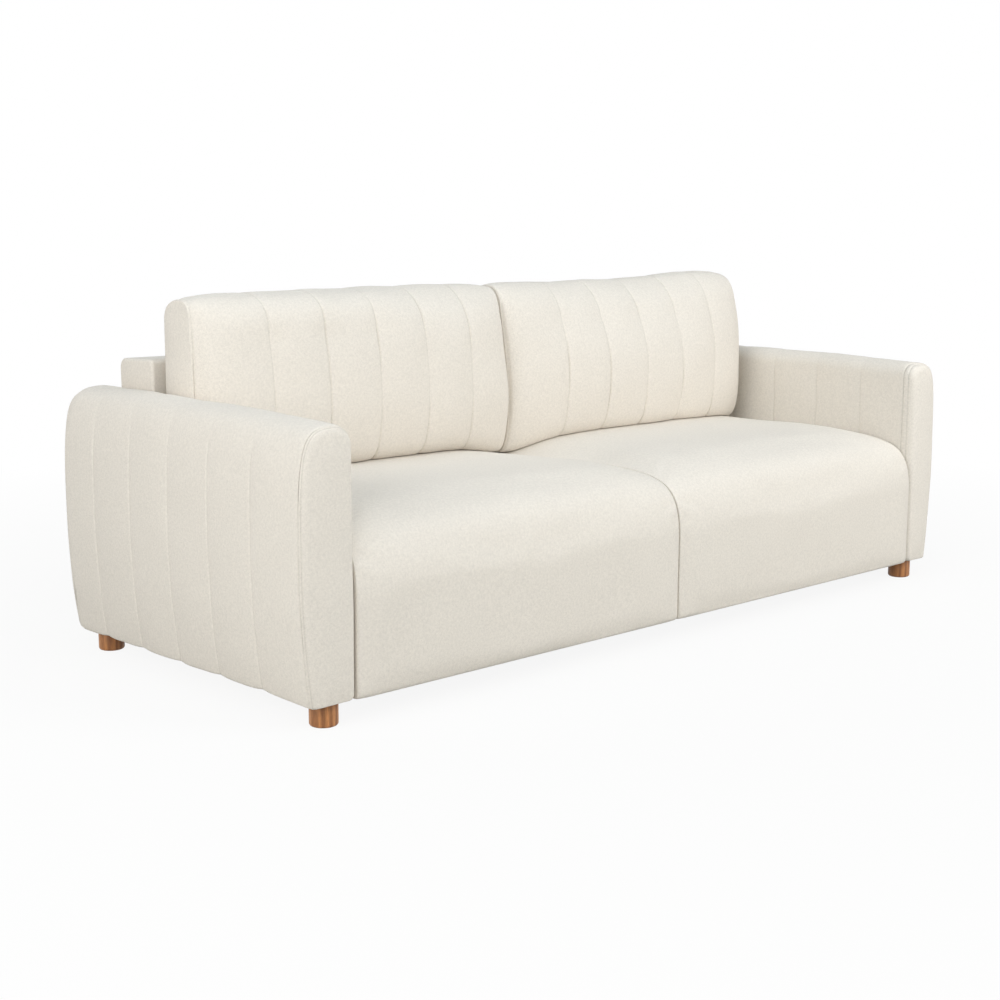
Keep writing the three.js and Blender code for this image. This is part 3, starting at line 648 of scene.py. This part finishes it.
class SOFA_OT_arms(bpy.types.Operator):
    """Sew the channelled arm covers and the padded facings that close their ends"""

    bl_idname = "sofa.arms"
    bl_label = "Arms"

    def execute(self, context):
        sizes = context.scene.sofa_sizes
        for side, turn in SIDES.items():
            self.cover(side, turn, sizes)
            self.facing(side, turn, sizes, "front")
            self.facing(side, turn, sizes, "rear")
        return {"FINISHED"}

    def cover(self, side, turn, sizes):
        """A sleeve of channels over the arm's frame, which rounds over at both ends to meet their facings."""
        seams = [FRONT_SEAM, ARM_LOW.y + sizes.channel_pitch]
        while seams[-1] + sizes.channel_pitch < REAR_SEAM - LEAST_CHANNEL:
            seams.append(seams[-1] + sizes.channel_pitch)
        seams.append(REAR_SEAM)
        stations = channel_stations(seams, 0.010)
        rings = []
        for y, share, _ in stations:
            # The puff stays full up to the sleeve's ends
            at_end = y < seams[1] and share < 0.5 or y > seams[-2] and share > 0.5 or y == REAR_SEAM
            lack = 0 if at_end else pulled_in(share)
            inner, outer, top, lift = end_dips(side, y)
            drawn = sizes.arm_puff * lack
            insets = (inner + drawn, outer + drawn, top + 0.001 * lack, lift + 0.003 * lack)
            back = ARM_LIE[side][0] * (1 - eased(y, FRONT_SEAM, FRONT_SEAM + 0.12))
            rings.append(arm_ring(turn, y, insets, back))
        bm, swept = drape(rings, 1, closed=False)
        ends, channels = {}, {}
        for i, (y, _, mark) in enumerate(stations):
            if min(y - FRONT_SEAM, REAR_SEAM - y) < 0.02:
                ends[i] = mark * SLEEVE_SEAM
            else:
                channels[i] = mark
        mark_seam(bm, swept, ends, fade=end_pull)
        mark_seam(bm, swept, channels, fade=channel_pull)
        piece = finish_mesh(bm, f"sewn_{side}_arm_cover")
        settle(piece, 0.09, 0.0016, turn * 3.0)
        draw_in(piece, sizes.seam_depth)
        wall(piece, sizes.cover_thickness)
        finish_piece(piece, "upholstery", f"{side}_arm_cover")

    def facing(self, side, turn, sizes, end):
        """A padded panel that closes one end of an arm, sewn inside the sleeve's rounded edge."""
        border = sizes.facing_border
        # Where its seam and its face lie, and how its inner side and its hem differ
        if end == "front":
            seam, face, back, inner_border, hem = FRONT_SEAM, ARM_FRONT, *ARM_LIE[side][:2], 0.1
        else:
            seam, face, back, inner_border, hem = REAR_SEAM, ARM_REAR, 0.0, border, 1.0
        inner, outer, crest, lift = end_dips(side, seam)
        depth = face - seam
        rings = []
        for angle in FACING_TURNS:
            deep, turned = math.sin(math.radians(angle)), 1 - math.cos(math.radians(angle))
            insets = (
                inner + inner_border * turned, outer + border * turned, crest + border * turned,
                lift + border * hem * turned,
            )
            rings.append(arm_ring(turn, seam + depth * deep, insets, back * (1 - deep)))
        rim, last = rings[-1], len(rings[0]) - 1
        for share in FACING_FACE:
            swell = Vector((0, math.copysign(FACING_SWELL, depth) * (1 - share ** 2), 0))
            ring = narrowed(rim, 1, *FACING_LINE, share, last)
            rings.append([place + swell for place in ring])
        bm, swept = drape(rings, 1)
        close_panel(bm, swept[-1], last)
        face_cloth(1, bm)
        mark_seam(bm, swept, FACING_SEAMS, fade=end_pull)
        piece = finish_mesh(bm, f"padded_{side}_arm_{end}_facing")
        settle(piece, 0.12, 0.0015, turn * 5.0)
        draw_in(piece, sizes.seam_depth * 0.8)
        finish_piece(piece, "upholstery", f"{side}_arm_{end}_facing")


# How far each seat's top falls towards the rear, and how much further beside the split between the seats
SEAT_FALL = {"left": (0.010, 0.012), "right": (0.001, 0.014)}
# How much of a seat's crown comes from its stuffing
STUFFED_RISE = 0.005
# Shares of a seat's width at its ends, close together where it rounds over, and the steps between them
SEAT_END = (0.0, 0.0005, 0.0015, 0.003, 0.005, 0.008, 0.012, 0.018, 0.026, 0.036, 0.046, 0.058)
SEAT_STEPS = 50


def seat_outline(side, share, crown):
    """A seat's section at a share of its width, in Y and Z: apron, front, nose, top, rear and deck."""
    level, beside = SEAT_FALL[side]
    fall = level + beside * (1 - eased(share, 0.0, 0.3))
    full = fullness(share, 40)
    front = SEAT_LOW.y + 0.008 * (1 - full)
    top = SEAT_EDGE + crown * fullness(share, 4)
    low = UNDERSIDE - 0.003
    rear, deck, apron = SEAT_HIGH.y, FOAM_LOW.z, SEAT_LOW.y + 0.032
    hem = front + 0.002
    # How far back and how far down the nose rolls over, and how round the rear edge is
    nose, drop, edge = 0.258, 0.148, 0.015
    rear_top = top - fall
    return traced(
        (apron, low),
        (3, (hem + 0.008, low)),
        (3, (hem + 0.003, low), (hem, low + 0.004), (hem, low + 0.010)),
        (14, (front, top - drop)),
        (
            26, (front, top - drop * (0.05 + 0.05 * full)), (front + nose * (0.25 + 0.05 * full), top),
            (front + nose, top),
        ),
        (30, (rear - edge, rear_top)),
        (3, (rear - 0.006, rear_top), (rear, rear_top - 0.006), (rear, rear_top - edge)),
        (8, (rear, deck)),
        (22, (apron, deck)),
        (8, (apron, low)),
    )[:-1]


class SOFA_OT_seats(bpy.types.Operator):
    """Upholster the two waterfall seats"""

    bl_idname = "sofa.seats"
    bl_label = "Seats"

    def execute(self, context):
        sizes = context.scene.sofa_sizes
        width = SEAT_HIGH.x - SEAT_LOW.x
        reach = SEAT_END[-1]
        middle = [reach + (1 - 2 * reach) * step / SEAT_STEPS for step in range(1, SEAT_STEPS)]
        shares = [*SEAT_END, *middle, *(1 - share for share in reversed(SEAT_END))]
        for side, turn in SIDES.items():
            rings = []
            for share in shares:
                x = turn * (SEAT_LOW.x + width * share)
                outline = seat_outline(side, share, sizes.seat_crown - STUFFED_RISE)
                rings.append([Vector((x, y, z)) for y, z in outline])
            bm, swept = drape(rings, 0)
            close_end(bm, swept[0], 0)
            close_end(bm, swept[-1], 0)
            mark_seam(bm, swept, {number: 1.0 for number in (0, 1, 2, -3, -2, -1)}, "held")
            held = bm.verts.layers.float["held"]
            for vert in bm.verts:
                if self.is_out_of_sight(vert.co):
                    vert[held] = 1.0
            piece = finish_mesh(bm, f"upholstered_{side}_seat")
            stuff(piece)
            settle(piece, 0.16, 0.003, turn * 7.0)
            finer(piece)
            finish_piece(piece, "upholstery", f"{side}_seat_cover")
        return {"FINISHED"}

    def is_out_of_sight(self, place):
        """Whether a place is on a seat's rear, on its deck behind the apron or on its hem."""
        at_rear = place.y > SEAT_HIGH.y - 0.016
        on_deck = place.y > SEAT_LOW.y + 0.03 and place.z < FOAM_LOW.z + 0.001
        return at_rear or on_deck or place.z < UNDERSIDE + 0.002


# Front of a back cushion from its underside to the top and down its rear, as (Y, Z): at its crown and at its
# end panels
CUSHION_CROWN = (
    (0.200, 0.420), (0.150, 0.420), (0.118, 0.425), (0.096, 0.438), (0.080, 0.461), (0.070, 0.496),
    (0.063, 0.537), (0.060, 0.577), (0.063, 0.643), (0.070, 0.700), (0.079, 0.745), (0.094, 0.783),
    (0.121, 0.816), (0.153, 0.839), (0.185, 0.847), (0.215, 0.848), (0.240, 0.843), (0.260, 0.829),
    (0.272, 0.806), (0.2755, 0.780), (0.2755, 0.690), (0.2755, 0.600), (0.2755, 0.500), (0.272, 0.440),
    (0.250, 0.421),
)
CUSHION_END = (
    (0.195, 0.406), (0.170, 0.406), (0.150, 0.409), (0.136, 0.425), (0.128, 0.449), (0.124, 0.480),
    (0.123, 0.515), (0.124, 0.560), (0.126, 0.620), (0.128, 0.685), (0.130, 0.740), (0.133, 0.788),
    (0.140, 0.816), (0.153, 0.830), (0.172, 0.835), (0.193, 0.834), (0.213, 0.829), (0.230, 0.819),
    (0.241, 0.803), (0.246, 0.778), (0.2475, 0.690), (0.2475, 0.600), (0.2475, 0.500), (0.242, 0.430),
    (0.222, 0.408),
)
# Steps from one of these to the next, and the sum of the numbers of two points of the section that lie
# across from each other
KNOT_STEPS = 5
CUSHION_ACROSS = 143
# End panel outside its seam: the size of each ring that follows, and how far it swells out. The rings end in
# an upright line, from low to high, and the inner panels, which face each other, swell out less
CUSHION_PANEL = (
    (0.99, 0.002), (0.97, 0.0045), (0.945, 0.006), (0.91, 0.007), (0.8, 0.008), (0.6, 0.009), (0.4, 0.0095),
    (0.2, 0.0095), (0.0, 0.0095),
)
CUSHION_LINE = (0.47, 0.77)
INNER_SWELL = 0.3
# How each cushion lies: its outer end panel further out than the frame's, its seams shifted outwards, the
# lean of its outer end inwards at the top, and the heights between which its top front edge moves back or
# forward
CUSHION_LIE = {"left": (0.009, 0.0, 0.0, 0.755, 0.815), "right": (-0.028, -0.005, 0.016, 0.65, 0.77)}
# The inner end of each cushion: how much further out than the frame's it stands, how much more at the top,
# and how much lower its underside lies
CUSHION_INNER = {"left": (0.012, 0.016, 0.014), "right": (-0.018, -0.014, 0.019)}
# By share of a cushion's width: how much higher its top is, and how much further back its top front edge
CUSHION_TOP = {
    "left": (
        (0.0, -0.004, 0.005), (0.17, -0.0054, 0.007), (0.335, -0.0068, 0.0), (0.5, -0.0081, -0.018),
        (0.665, -0.0088, -0.021), (0.83, -0.009, -0.014), (1.0, -0.005, 0.0),
    ),
    "right": (
        (0.0, -0.001, 0.004), (0.12, -0.0046, 0.010), (0.23, -0.0096, 0.014), (0.35, -0.0085, 0.018),
        (0.52, -0.0078, 0.020), (0.66, -0.0036, 0.018), (0.73, 0.002, 0.016), (0.8, 0.0075, 0.012),
        (0.87, 0.0097, 0.008), (0.94, 0.0075, 0.004), (1.0, 0.003, 0.0),
    ),
}


def cushion_top(side, share):
    """The rise and the set-back of a cushion's top at a share of its width."""
    table = CUSHION_TOP[side]
    for (start, *first), (end, *second) in zip(table, table[1:]):
        if share <= end:
            part = max(0.0, (share - start) / (end - start))
            return [a + (b - a) * part for a, b in zip(first, second)]
    return table[-1][1:]


def cushion_ring(side, share, inset):
    """A back cushion's section at a share of its width, drawn in by an inset."""
    lean, low, high = CUSHION_LIE[side][2:]
    shift, more, drop = CUSHION_INNER[side]
    inside = min(max(share, 0.0), 1.0)
    full = fullness(inside, 2.5)
    # The two inner ends press on each other, so they are fuller and reach down to the seats
    full += 0.2 * (1 - full) * (1 - eased(share, 0.0, 0.3))
    knots = [Vector(a).lerp(Vector(b), full) for a, b in zip(CUSHION_END, CUSHION_CROWN)]
    # The corners beside the seat are rounded off, and the top rises or falls along the sofa
    corner = 1 - fullness(inside, 24)
    lift = (0.022 if share > 0.5 else 0.002) * corner - drop * (1 - eased(share, 0.0, 0.25))
    rise, back = cushion_top(side, share)
    for knot in knots:
        knot.x += back * eased(knot.y, low, high) * (1 - eased(knot.x, 0.14, 0.21))
        knot.y += lift * (1 - eased(knot.y, 0.40, 0.48))
        knot.y += rise * eased(knot.y, 0.55, 0.82)
    # A smooth curve through the knots, with the same number of points in every section
    points = []
    closed = knots[-1:] + knots + knots[:2]
    for last, start, end, following in zip(closed, closed[1:], closed[2:], closed[3:]):
        points += bent_line(start, start + (end - last) / 6, end - (following - start) / 6, end, KNOT_STEPS)
    # Drawn in at right angles to it, less over the top
    middle = Vector((0.19, 0.62))
    drawn = []
    for point, after, before in zip(points, points[1:] + points[:1], points[-1:] + points[:-1]):
        way = (after - before).normalized()
        normal = Vector((way.y, -way.x))
        if normal.dot(middle - point) < 0:
            normal = -normal
        drawn.append(point + normal * inset * (1 - 0.75 * eased(point.y, 0.76, 0.83)))
    # The outer end leans in at the top, and the inner one leans as a whole
    lean *= eased(share, 0.7, 1.0)
    inner = 1 - eased(share, 0.0, 0.18)
    x = CUSHION_LOW.x + (CUSHION_HIGH.x - CUSHION_LOW.x) * share + shift * inner
    return [
        Vector((SIDES[side] * (x - lean * eased(z, 0.68, 0.84) + more * inner * eased(z, 0.54, 0.80)), y, z))
        for y, z in drawn
    ]


# How deep the seams are drawn: across a cushion's front, at its inner end, beside the seam of its outer end,
# and that seam itself, which is sewn flatter
FRONT_SEAMS, INNER_SEAM, OUTER_SEAM, OUTER_STITCH = 0.62, 0.4, 0.7, 0.45


class SOFA_OT_back_cushions(bpy.types.Operator):
    """Sew and stuff the two channelled back cushions"""

    bl_idname = "sofa.back_cushions"
    bl_label = "Back cushions"

    def execute(self, context):
        sizes = context.scene.sofa_sizes
        width = CUSHION_HIGH.x - CUSHION_LOW.x
        for side, turn in SIDES.items():
            further, shift = CUSHION_LIE[side][:2]
            inner_seams = [width / 2 + shift + number * sizes.cushion_pitch for number in range(-2, 3)]
            seams = [0.0, *inner_seams, width + further]
            stations = channel_stations(seams, 0.012)
            rings = [
                cushion_ring(side, place / width, sizes.cushion_puff * pulled_in(share))
                for place, share, _ in stations
            ]
            rings = self.panel(rings[0], -turn * INNER_SWELL)[::-1] + rings + self.panel(rings[-1], turn)
            bm, swept = drape(rings, 0)
            for end in (swept[0], swept[-1]):
                close_panel(bm, end, CUSHION_ACROSS)
            flat = [face for face in bm.faces if all(self.on_panel(vert, seams, turn) for vert in face.verts)]
            face_cloth(0, bm, flat)
            self.mark(bm, swept, stations)
            piece = finish_mesh(bm, f"stuffed_{side}_back_cushion")
            stuff(piece, lambda place: 1 - 0.7 * eased(place.z, 0.76, 0.83))
            settle(piece, 0.12, 0.003, turn * 11.0)
            draw_in(piece, sizes.seam_depth)
            self.rest_on_seats(piece)
            finer(piece)
            finish_piece(piece, "upholstery", f"{side}_back_cushion_cover")
        return {"FINISHED"}

    def panel(self, ring, out):
        """The rings of an end panel, from its seam down to the line in its middle."""
        rings = []
        for share, reach in CUSHION_PANEL:
            drawn = narrowed(ring, 0, *CUSHION_LINE, share, CUSHION_ACROSS)
            rings.append([place + Vector((out * reach, 0, 0)) for place in drawn])
        return rings

    def mark(self, bm, swept, stations):
        """Marks the seams of a cushion, and where it is held while it is stuffed."""
        extra, last = len(CUSHION_PANEL), len(swept) - 1
        marks = {i + extra: mark for i, (_, _, mark) in enumerate(stations)}
        inner_end = {i: mark * INNER_SEAM for i, mark in marks.items() if i < extra + 4}
        outer_end = {i: mark * OUTER_SEAM for i, mark in marks.items() if i > last - extra - 4}
        outer_end[last - extra + 3] = OUTER_STITCH
        inside = {i: mark for i, mark in marks.items() if i not in inner_end and i not in outer_end}
        mark_seam(bm, swept, {i: mark * FRONT_SEAMS for i, mark in inside.items()})
        # The seam of an end panel runs up to the corner and not over the top, which is one piece with it
        for end in (inner_end, outer_end):
            mark_seam(bm, swept, end, fade=lambda place: 1 - eased(place.z, 0.80, 0.825))
        held = {**inside, **inner_end, **outer_end}
        mark_seam(bm, swept, {i: 1.0 for i, mark in held.items() if mark > 0.25 or i == extra}, "held")
        mark_seam(bm, swept, {i: 1.0 for i in range(1, extra)}, "held")

    def on_panel(self, vert, seams, turn):
        """Whether a vertex lies on or outside the seam of an end panel."""
        place = vert.co.x * turn - CUSHION_LOW.x
        return place < seams[0] + 1e-5 or place > seams[-1] - 1e-5

    def rest_on_seats(self, piece):
        """Flattens a cushion where it stands on the seats and leans on the sofa's back."""
        seats = [bpy.data.objects[f"upholstered_{side}_seat"] for side in SIDES]
        # The height of a cushion's foot, a height above the seats, and the gap that is left on them
        foot, above, gap = 0.46, 0.7, 0.0015
        for vert in piece.data.vertices:
            vert.co.y = min(vert.co.y, BACK_LOW.y - 0.0005)
            if vert.co.z > foot:
                continue
            for seat in seats:
                met, place = seat.ray_cast(Vector((vert.co.x, vert.co.y, above)), Vector((0, 0, -1)))[:2]
                if met:
                    vert.co.z = max(vert.co.z, place.z + gap)


class SOFA_OT_back(bpy.types.Operator):
    """Upholster the low back and close it with its outside panel"""

    bl_idname = "sofa.back"
    bl_label = "Back"

    def execute(self, context):
        self.cover(context.scene.sofa_sizes)
        self.panel()
        return {"FINISHED"}

    def outline(self, inset):
        """The cover's section, drawn in by an inset: up the front, over the top and down the rear."""
        front, rear, top = BACK_LOW.y + inset, BACK_HIGH.y - inset, BACK_HIGH.z - inset
        # The front edge is crisp, and the top falls to a rounder rear edge
        crisp, edge, fall = 0.010, 0.020, 0.0025
        tight, bend, rear_top = crisp * 0.45, edge * 0.45, top - fall
        return traced(
            (front, UNDERSIDE),
            (20, (front, top - crisp)),
            (6, (front, top - tight), (front + tight, top), (front + crisp, top)),
            (5, (rear - edge, rear_top)),
            (6, (rear - bend, rear_top), (rear, rear_top - bend), (rear, rear_top - edge)),
            (1, (rear, min(PANEL_HIGH.z, rear_top - edge - 0.002) + 0.001)),
            (20, (rear, UNDERSIDE)),
        )

    def cover(self, sizes):
        """A cover over the front, top and ends, turned round the edges of the outside panel."""
        end, border = BACK_HIGH.x, PANEL_HIGH.x + 0.001
        # Its ends are softly rounded, in a few steps, and its length is divided evenly
        soft, steps, count = 0.006, 5, 64
        quarter = [math.pi / 2 * step / steps for step in range(steps + 1)]
        places = [(-end + soft * (1 - math.cos(angle)), soft * (1 - math.sin(angle))) for angle in quarter]
        run = [-border + 2 * border * step / count for step in range(count + 1)]
        stations = places + [(x, 0.0) for x in run] + [(-x, inset) for x, inset in reversed(places)]
        rings = [[Vector((x, y, z)) for y, z in self.outline(inset)] for x, inset in stations]
        bm, swept = drape(rings, 0, closed=False)
        close_end(bm, swept[0], 0)
        close_end(bm, swept[-1], 0)
        middles = {face: face.calc_center_median() for face in bm.faces}
        opening = [
            face for face, middle in middles.items()
            if middle.y > BACK_HIGH.y - 0.001 and abs(middle.x) < border and middle.z < PANEL_HIGH.z
        ]
        bmesh.ops.delete(bm, geom=opening, context="FACES")
        piece = finish_mesh(bm, "upholstered_back_cover")
        settle(piece, 0.2, 0.0025, 2.0)
        wall(piece, sizes.cover_thickness)
        finish_piece(piece, "upholstery", "back_cover")

    def panel(self):
        """The outside back: fabric stretched over the frame and turned in at its edges."""
        low, high = PANEL_LOW, PANEL_HIGH
        middle = (low + high) / 2
        bm = new_form()
        bmesh.ops.create_grid(bm, x_segments=60, y_segments=20, size=0.5)
        bmesh.ops.scale(bm, vec=(high.x - low.x, high.z - low.z, 1), verts=bm.verts)
        bmesh.ops.rotate(bm, matrix=Matrix.Rotation(math.pi / 2, 3, "X"), verts=bm.verts)
        bmesh.ops.translate(bm, vec=(middle.x, high.y, middle.z), verts=bm.verts)
        for vert in bm.verts:
            across = abs(vert.co.x - middle.x) / (high.x - low.x) * 2
            up = abs(vert.co.z - middle.z) / (high.z - low.z) * 2
            bulge = (1 - across ** 8) * (1 - up ** 6)
            vert.co.y += 0.003 * bulge - 0.001
        face_cloth(1, bm)
        piece = finish_mesh(bm, "stretched_outside_back", facing=1)
        wall(piece, 0.0025)
        finish_piece(piece, "upholstery", "outside_back_panel")


class SOFA_OT_fillings(bpy.types.Operator):
    """Cut the seat foams and the cushions' cores, and stretch the webbing"""

    bl_idname = "sofa.fillings"
    bl_label = "Fillings and webbing"

    def execute(self, context):
        for side in SIDES:
            for node, name, radius in (
                (f"{side}_seat_foam", f"cut_{side}_seat_foam", 0.008),
                (f"{side}_back_cushion_core", f"cut_{side}_cushion_core", 0.030),
            ):
                self.softened(node, name, radius, "foam")
            self.softened(f"{side}_back_cushion_zip", f"sewn_{side}_zip", 0.001, "zip_tape")
        for level in ("lower", "upper"):
            self.softened(f"back_{level}_webbing", f"stretched_{level}_webbing", 0.0007, "webbing")
        return {"FINISHED"}

    def softened(self, node, name, radius, finish):
        """A merged copy of a CAD node with its edges rounded, which stands for that node."""
        bm = new_form()
        bm.from_mesh(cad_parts[node].data)
        bmesh.ops.remove_doubles(bm, verts=bm.verts, dist=SAME_PLACE)
        bmesh.ops.dissolve_limit(bm, angle_limit=math.radians(1), verts=bm.verts, edges=bm.edges)
        sharp = [edge for edge in bm.edges if edge.is_manifold and edge.calc_face_angle() > math.radians(30)]
        round_edges(bm, sharp, radius, 3)
        piece = finish_mesh(bm, name)
        finish_piece(piece, finish, node)
        return piece


class SOFA_OT_feet(bpy.types.Operator):
    """Turn the wooden feet"""

    bl_idname = "sofa.feet"
    bl_label = "Feet"

    def execute(self, context):
        for name in ("front_left", "front_right", "rear_left", "rear_right", "centre"):
            low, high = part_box(f"foot_{name}")
            middle = (low + high) / 2
            radius = (high.x - low.x) / 2
            bm = new_form()
            profile = [(0, low.z), (radius, low.z), (radius, high.z), (0, high.z)]
            verts = [bm.verts.new((x, 0, z)) for x, z in profile]
            edges = [bm.edges.new(pair) for pair in zip(verts, verts[1:])]
            bmesh.ops.spin(
                bm, geom=verts + edges, cent=(0, 0, 0), axis=(0, 0, 1), angle=math.tau, steps=64,
                use_merge=True,
            )
            bmesh.ops.remove_doubles(bm, verts=bm.verts, dist=SAME_PLACE)
            # The edge on the floor is rounded and the one under the sofa only broken
            for height, round_over, segments in ((low.z, 0.006, 5), (high.z, 0.001, 2)):
                level = {vert for vert in bm.verts if abs(vert.co.z - height) < SAME_PLACE}
                outer = {vert for vert in level if vert.co.xy.length > radius - SAME_PLACE * 10}
                rim = [edge for edge in bm.edges if outer.issuperset(edge.verts)]
                round_edges(bm, rim, round_over, segments)
            bmesh.ops.translate(bm, vec=(middle.x, middle.y, 0), verts=bm.verts)
            finish_piece(finish_mesh(bm, f"turned_foot_{name}"), "foot_wood", f"foot_{name}")
        return {"FINISHED"}


class SOFA_OT_dust_cover(bpy.types.Operator):
    """Stretch the dust cover under the frame, with a hole for the centre foot"""

    bl_idname = "sofa.dust_cover"
    bl_label = "Dust cover"

    def execute(self, context):
        low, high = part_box("dust_cover")
        foot_low, foot_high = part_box("foot_centre")
        radius = (foot_high.x - foot_low.x) / 2 + 0.002
        centre = (foot_low + foot_high) / 2
        count = 96
        bm = new_form()
        hole = bmesh.ops.create_circle(bm, segments=count, radius=radius)["verts"]
        bmesh.ops.translate(bm, vec=(centre.x, centre.y, high.z), verts=hole)
        rim = bmesh.ops.create_circle(bm, segments=count, radius=1.0)["verts"]
        for vert in rim:
            reach = max(abs(vert.co.x), abs(vert.co.y))
            vert.co = Vector((
                (low.x + high.x) / 2 + vert.co.x / reach * (high.x - low.x) / 2,
                (low.y + high.y) / 2 + vert.co.y / reach * (high.y - low.y) / 2,
                high.z,
            ))
        bmesh.ops.bridge_loops(bm, edges=bm.edges[:])
        spokes = [edge for edge in bm.edges if (edge.verts[0] in hole) != (edge.verts[1] in hole)]
        bmesh.ops.subdivide_edges(bm, edges=spokes, cuts=24, use_grid_fill=True)
        face_cloth(2, bm)
        piece = finish_mesh(bm, "stretched_dust_cover", facing=2)
        wall(piece, high.z - low.z)
        finish_piece(piece, "dust_cloth", "dust_cover")
        return {"FINISHED"}


class SOFA_OT_frame_finish(bpy.types.Operator):
    """Give the boards, springs, pins and bolts of the frame their materials"""

    bl_idname = "sofa.frame_finish"
    bl_label = "Frame finish"

    def execute(self, context):
        kinds = {"steel": ("spring", "bolt", "pin"), "timber": ("rail", "post", "upright")}
        for name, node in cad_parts.items():
            for finish, words in kinds.items():
                if any(word in name for word in words):
                    for slot in node.material_slots:
                        slot.material = material_of(finish)
        return {"FINISHED"}


# Large soft lamps, as (name, place, what it points at, size, power, colour)
SOFA_MIDDLE = (0, 0, 0.4)
LAMPS = (
    ("overhead", (-0.4, -0.6, 4.2), SOFA_MIDDLE, 4.5, 75, "#e3f3ff"),
    ("front left", (-3.6, -3.4, 2.8), SOFA_MIDDLE, 3.0, 80, "#ffffff"),
    ("front right", (2.0, -4.0, 2.4), (0.6, 0, 0.4), 3.0, 148, "#ffffff"),
    ("left", (-5.0, -0.4, 2.0), SOFA_MIDDLE, 3.0, 110, "#ffffff"),
    ("rear", (1.4, 4.6, 1.6), SOFA_MIDDLE, 3.0, 75, "#ffffff"),
)
# The photograph's camera: its place, and how far it is tipped down and turned to the right, in radians
CAMERA_PLACE = (-2.95025, -2.96090, 0.99696)
CAMERA_TIP, CAMERA_TURN = 0.168, 0.7567
# Its focal length and the width of its film, in millimetres
CAMERA_LENS, CAMERA_FILM = 59.05, 36


class SOFA_OT_stage(bpy.types.Operator):
    """Set the camera, the pale floor and the soft light"""

    bl_idname = "sofa.stage"
    bl_label = "Stage"

    def execute(self, context):
        scene = context.scene
        scene.view_settings.view_transform = "Standard"
        camera = bpy.data.cameras.new("photo camera")
        camera.lens = CAMERA_LENS
        camera.sensor_width = CAMERA_FILM
        camera.clip_end = 100
        view = bpy.data.objects.new("photo camera", camera)
        view.location = CAMERA_PLACE
        view.rotation_euler = (math.pi / 2 - CAMERA_TIP, 0, -CAMERA_TURN)
        scene.collection.objects.link(view)
        scene.camera = view
        bm = new_form()
        bmesh.ops.create_grid(bm, x_segments=8, y_segments=8, size=12)
        floor = finish_mesh(bm, "floor", facing=2)
        floor.data.materials.append(material_of("floor"))
        self.world(scene)
        for name, place, aim, size, power, colour in LAMPS:
            light = bpy.data.lights.new(name, "AREA")
            light.color = linear(colour)[:3]
            light.shape = "SQUARE"
            light.size = size
            light.energy = power
            lamp = bpy.data.objects.new(name, light)
            lamp.location = place
            lamp.rotation_euler = (Vector(aim) - Vector(place)).to_track_quat("-Z", "Y").to_euler()
            scene.collection.objects.link(lamp)
        return {"FINISHED"}

    def world(self, scene):
        """An even pale room that gives a little light, white where the camera sees it."""
        world = bpy.data.worlds.new("pale room")
        world.use_nodes = True
        tree = world.node_tree
        tree.nodes.clear()
        room, white = (
            add_node(tree, "Background", {"Color": (1, 1, 1, 1), "Strength": strength})
            for strength in (0.1, 1.0)
        )
        mixed = add_node(tree, "MixShader", {0: seen(tree), 1: room, 2: white})
        add_node(tree, "OutputWorld", {"Surface": mixed})
        scene.world = world


class SOFA_PT_sidebar(bpy.types.Panel):
    """The sofa's steps, sizes and colours"""

    bl_idname = "SOFA_PT_sidebar"
    bl_label = "Tuxedo sofa"
    bl_space_type = "VIEW_3D"
    bl_region_type = "UI"
    bl_category = "Sofa"

    def draw(self, context):
        for step in STEPS:
            self.layout.operator(step.bl_idname)
        for group in (context.scene.sofa_sizes, context.scene.sofa_colours):
            for name in group.__annotations__:
                self.layout.prop(group, name)


STEPS = (
    SOFA_OT_stage,
    SOFA_OT_arms,
    SOFA_OT_seats,
    SOFA_OT_back_cushions,
    SOFA_OT_back,
    SOFA_OT_fillings,
    SOFA_OT_feet,
    SOFA_OT_dust_cover,
    SOFA_OT_frame_finish,
)
CLASSES = (SofaSizes, SofaColours, *STEPS, SOFA_PT_sidebar)


def register():
    for item in CLASSES:
        bpy.utils.register_class(item)
    bpy.types.Scene.sofa_sizes = bpy.props.PointerProperty(type=SofaSizes)
    bpy.types.Scene.sofa_colours = bpy.props.PointerProperty(type=SofaColours)


def unregister():
    del bpy.types.Scene.sofa_colours
    del bpy.types.Scene.sofa_sizes
    for item in reversed(CLASSES):
        bpy.utils.unregister_class(item)


def main():
    register()
    bpy.ops.sofa.stage()
    bpy.ops.sofa.arms()
    bpy.ops.sofa.seats()
    bpy.ops.sofa.back_cushions()
    bpy.ops.sofa.back()
    bpy.ops.sofa.fillings()
    bpy.ops.sofa.feet()
    bpy.ops.sofa.dust_cover()
    bpy.ops.sofa.frame_finish()


if __name__ == "__main__":
    main()
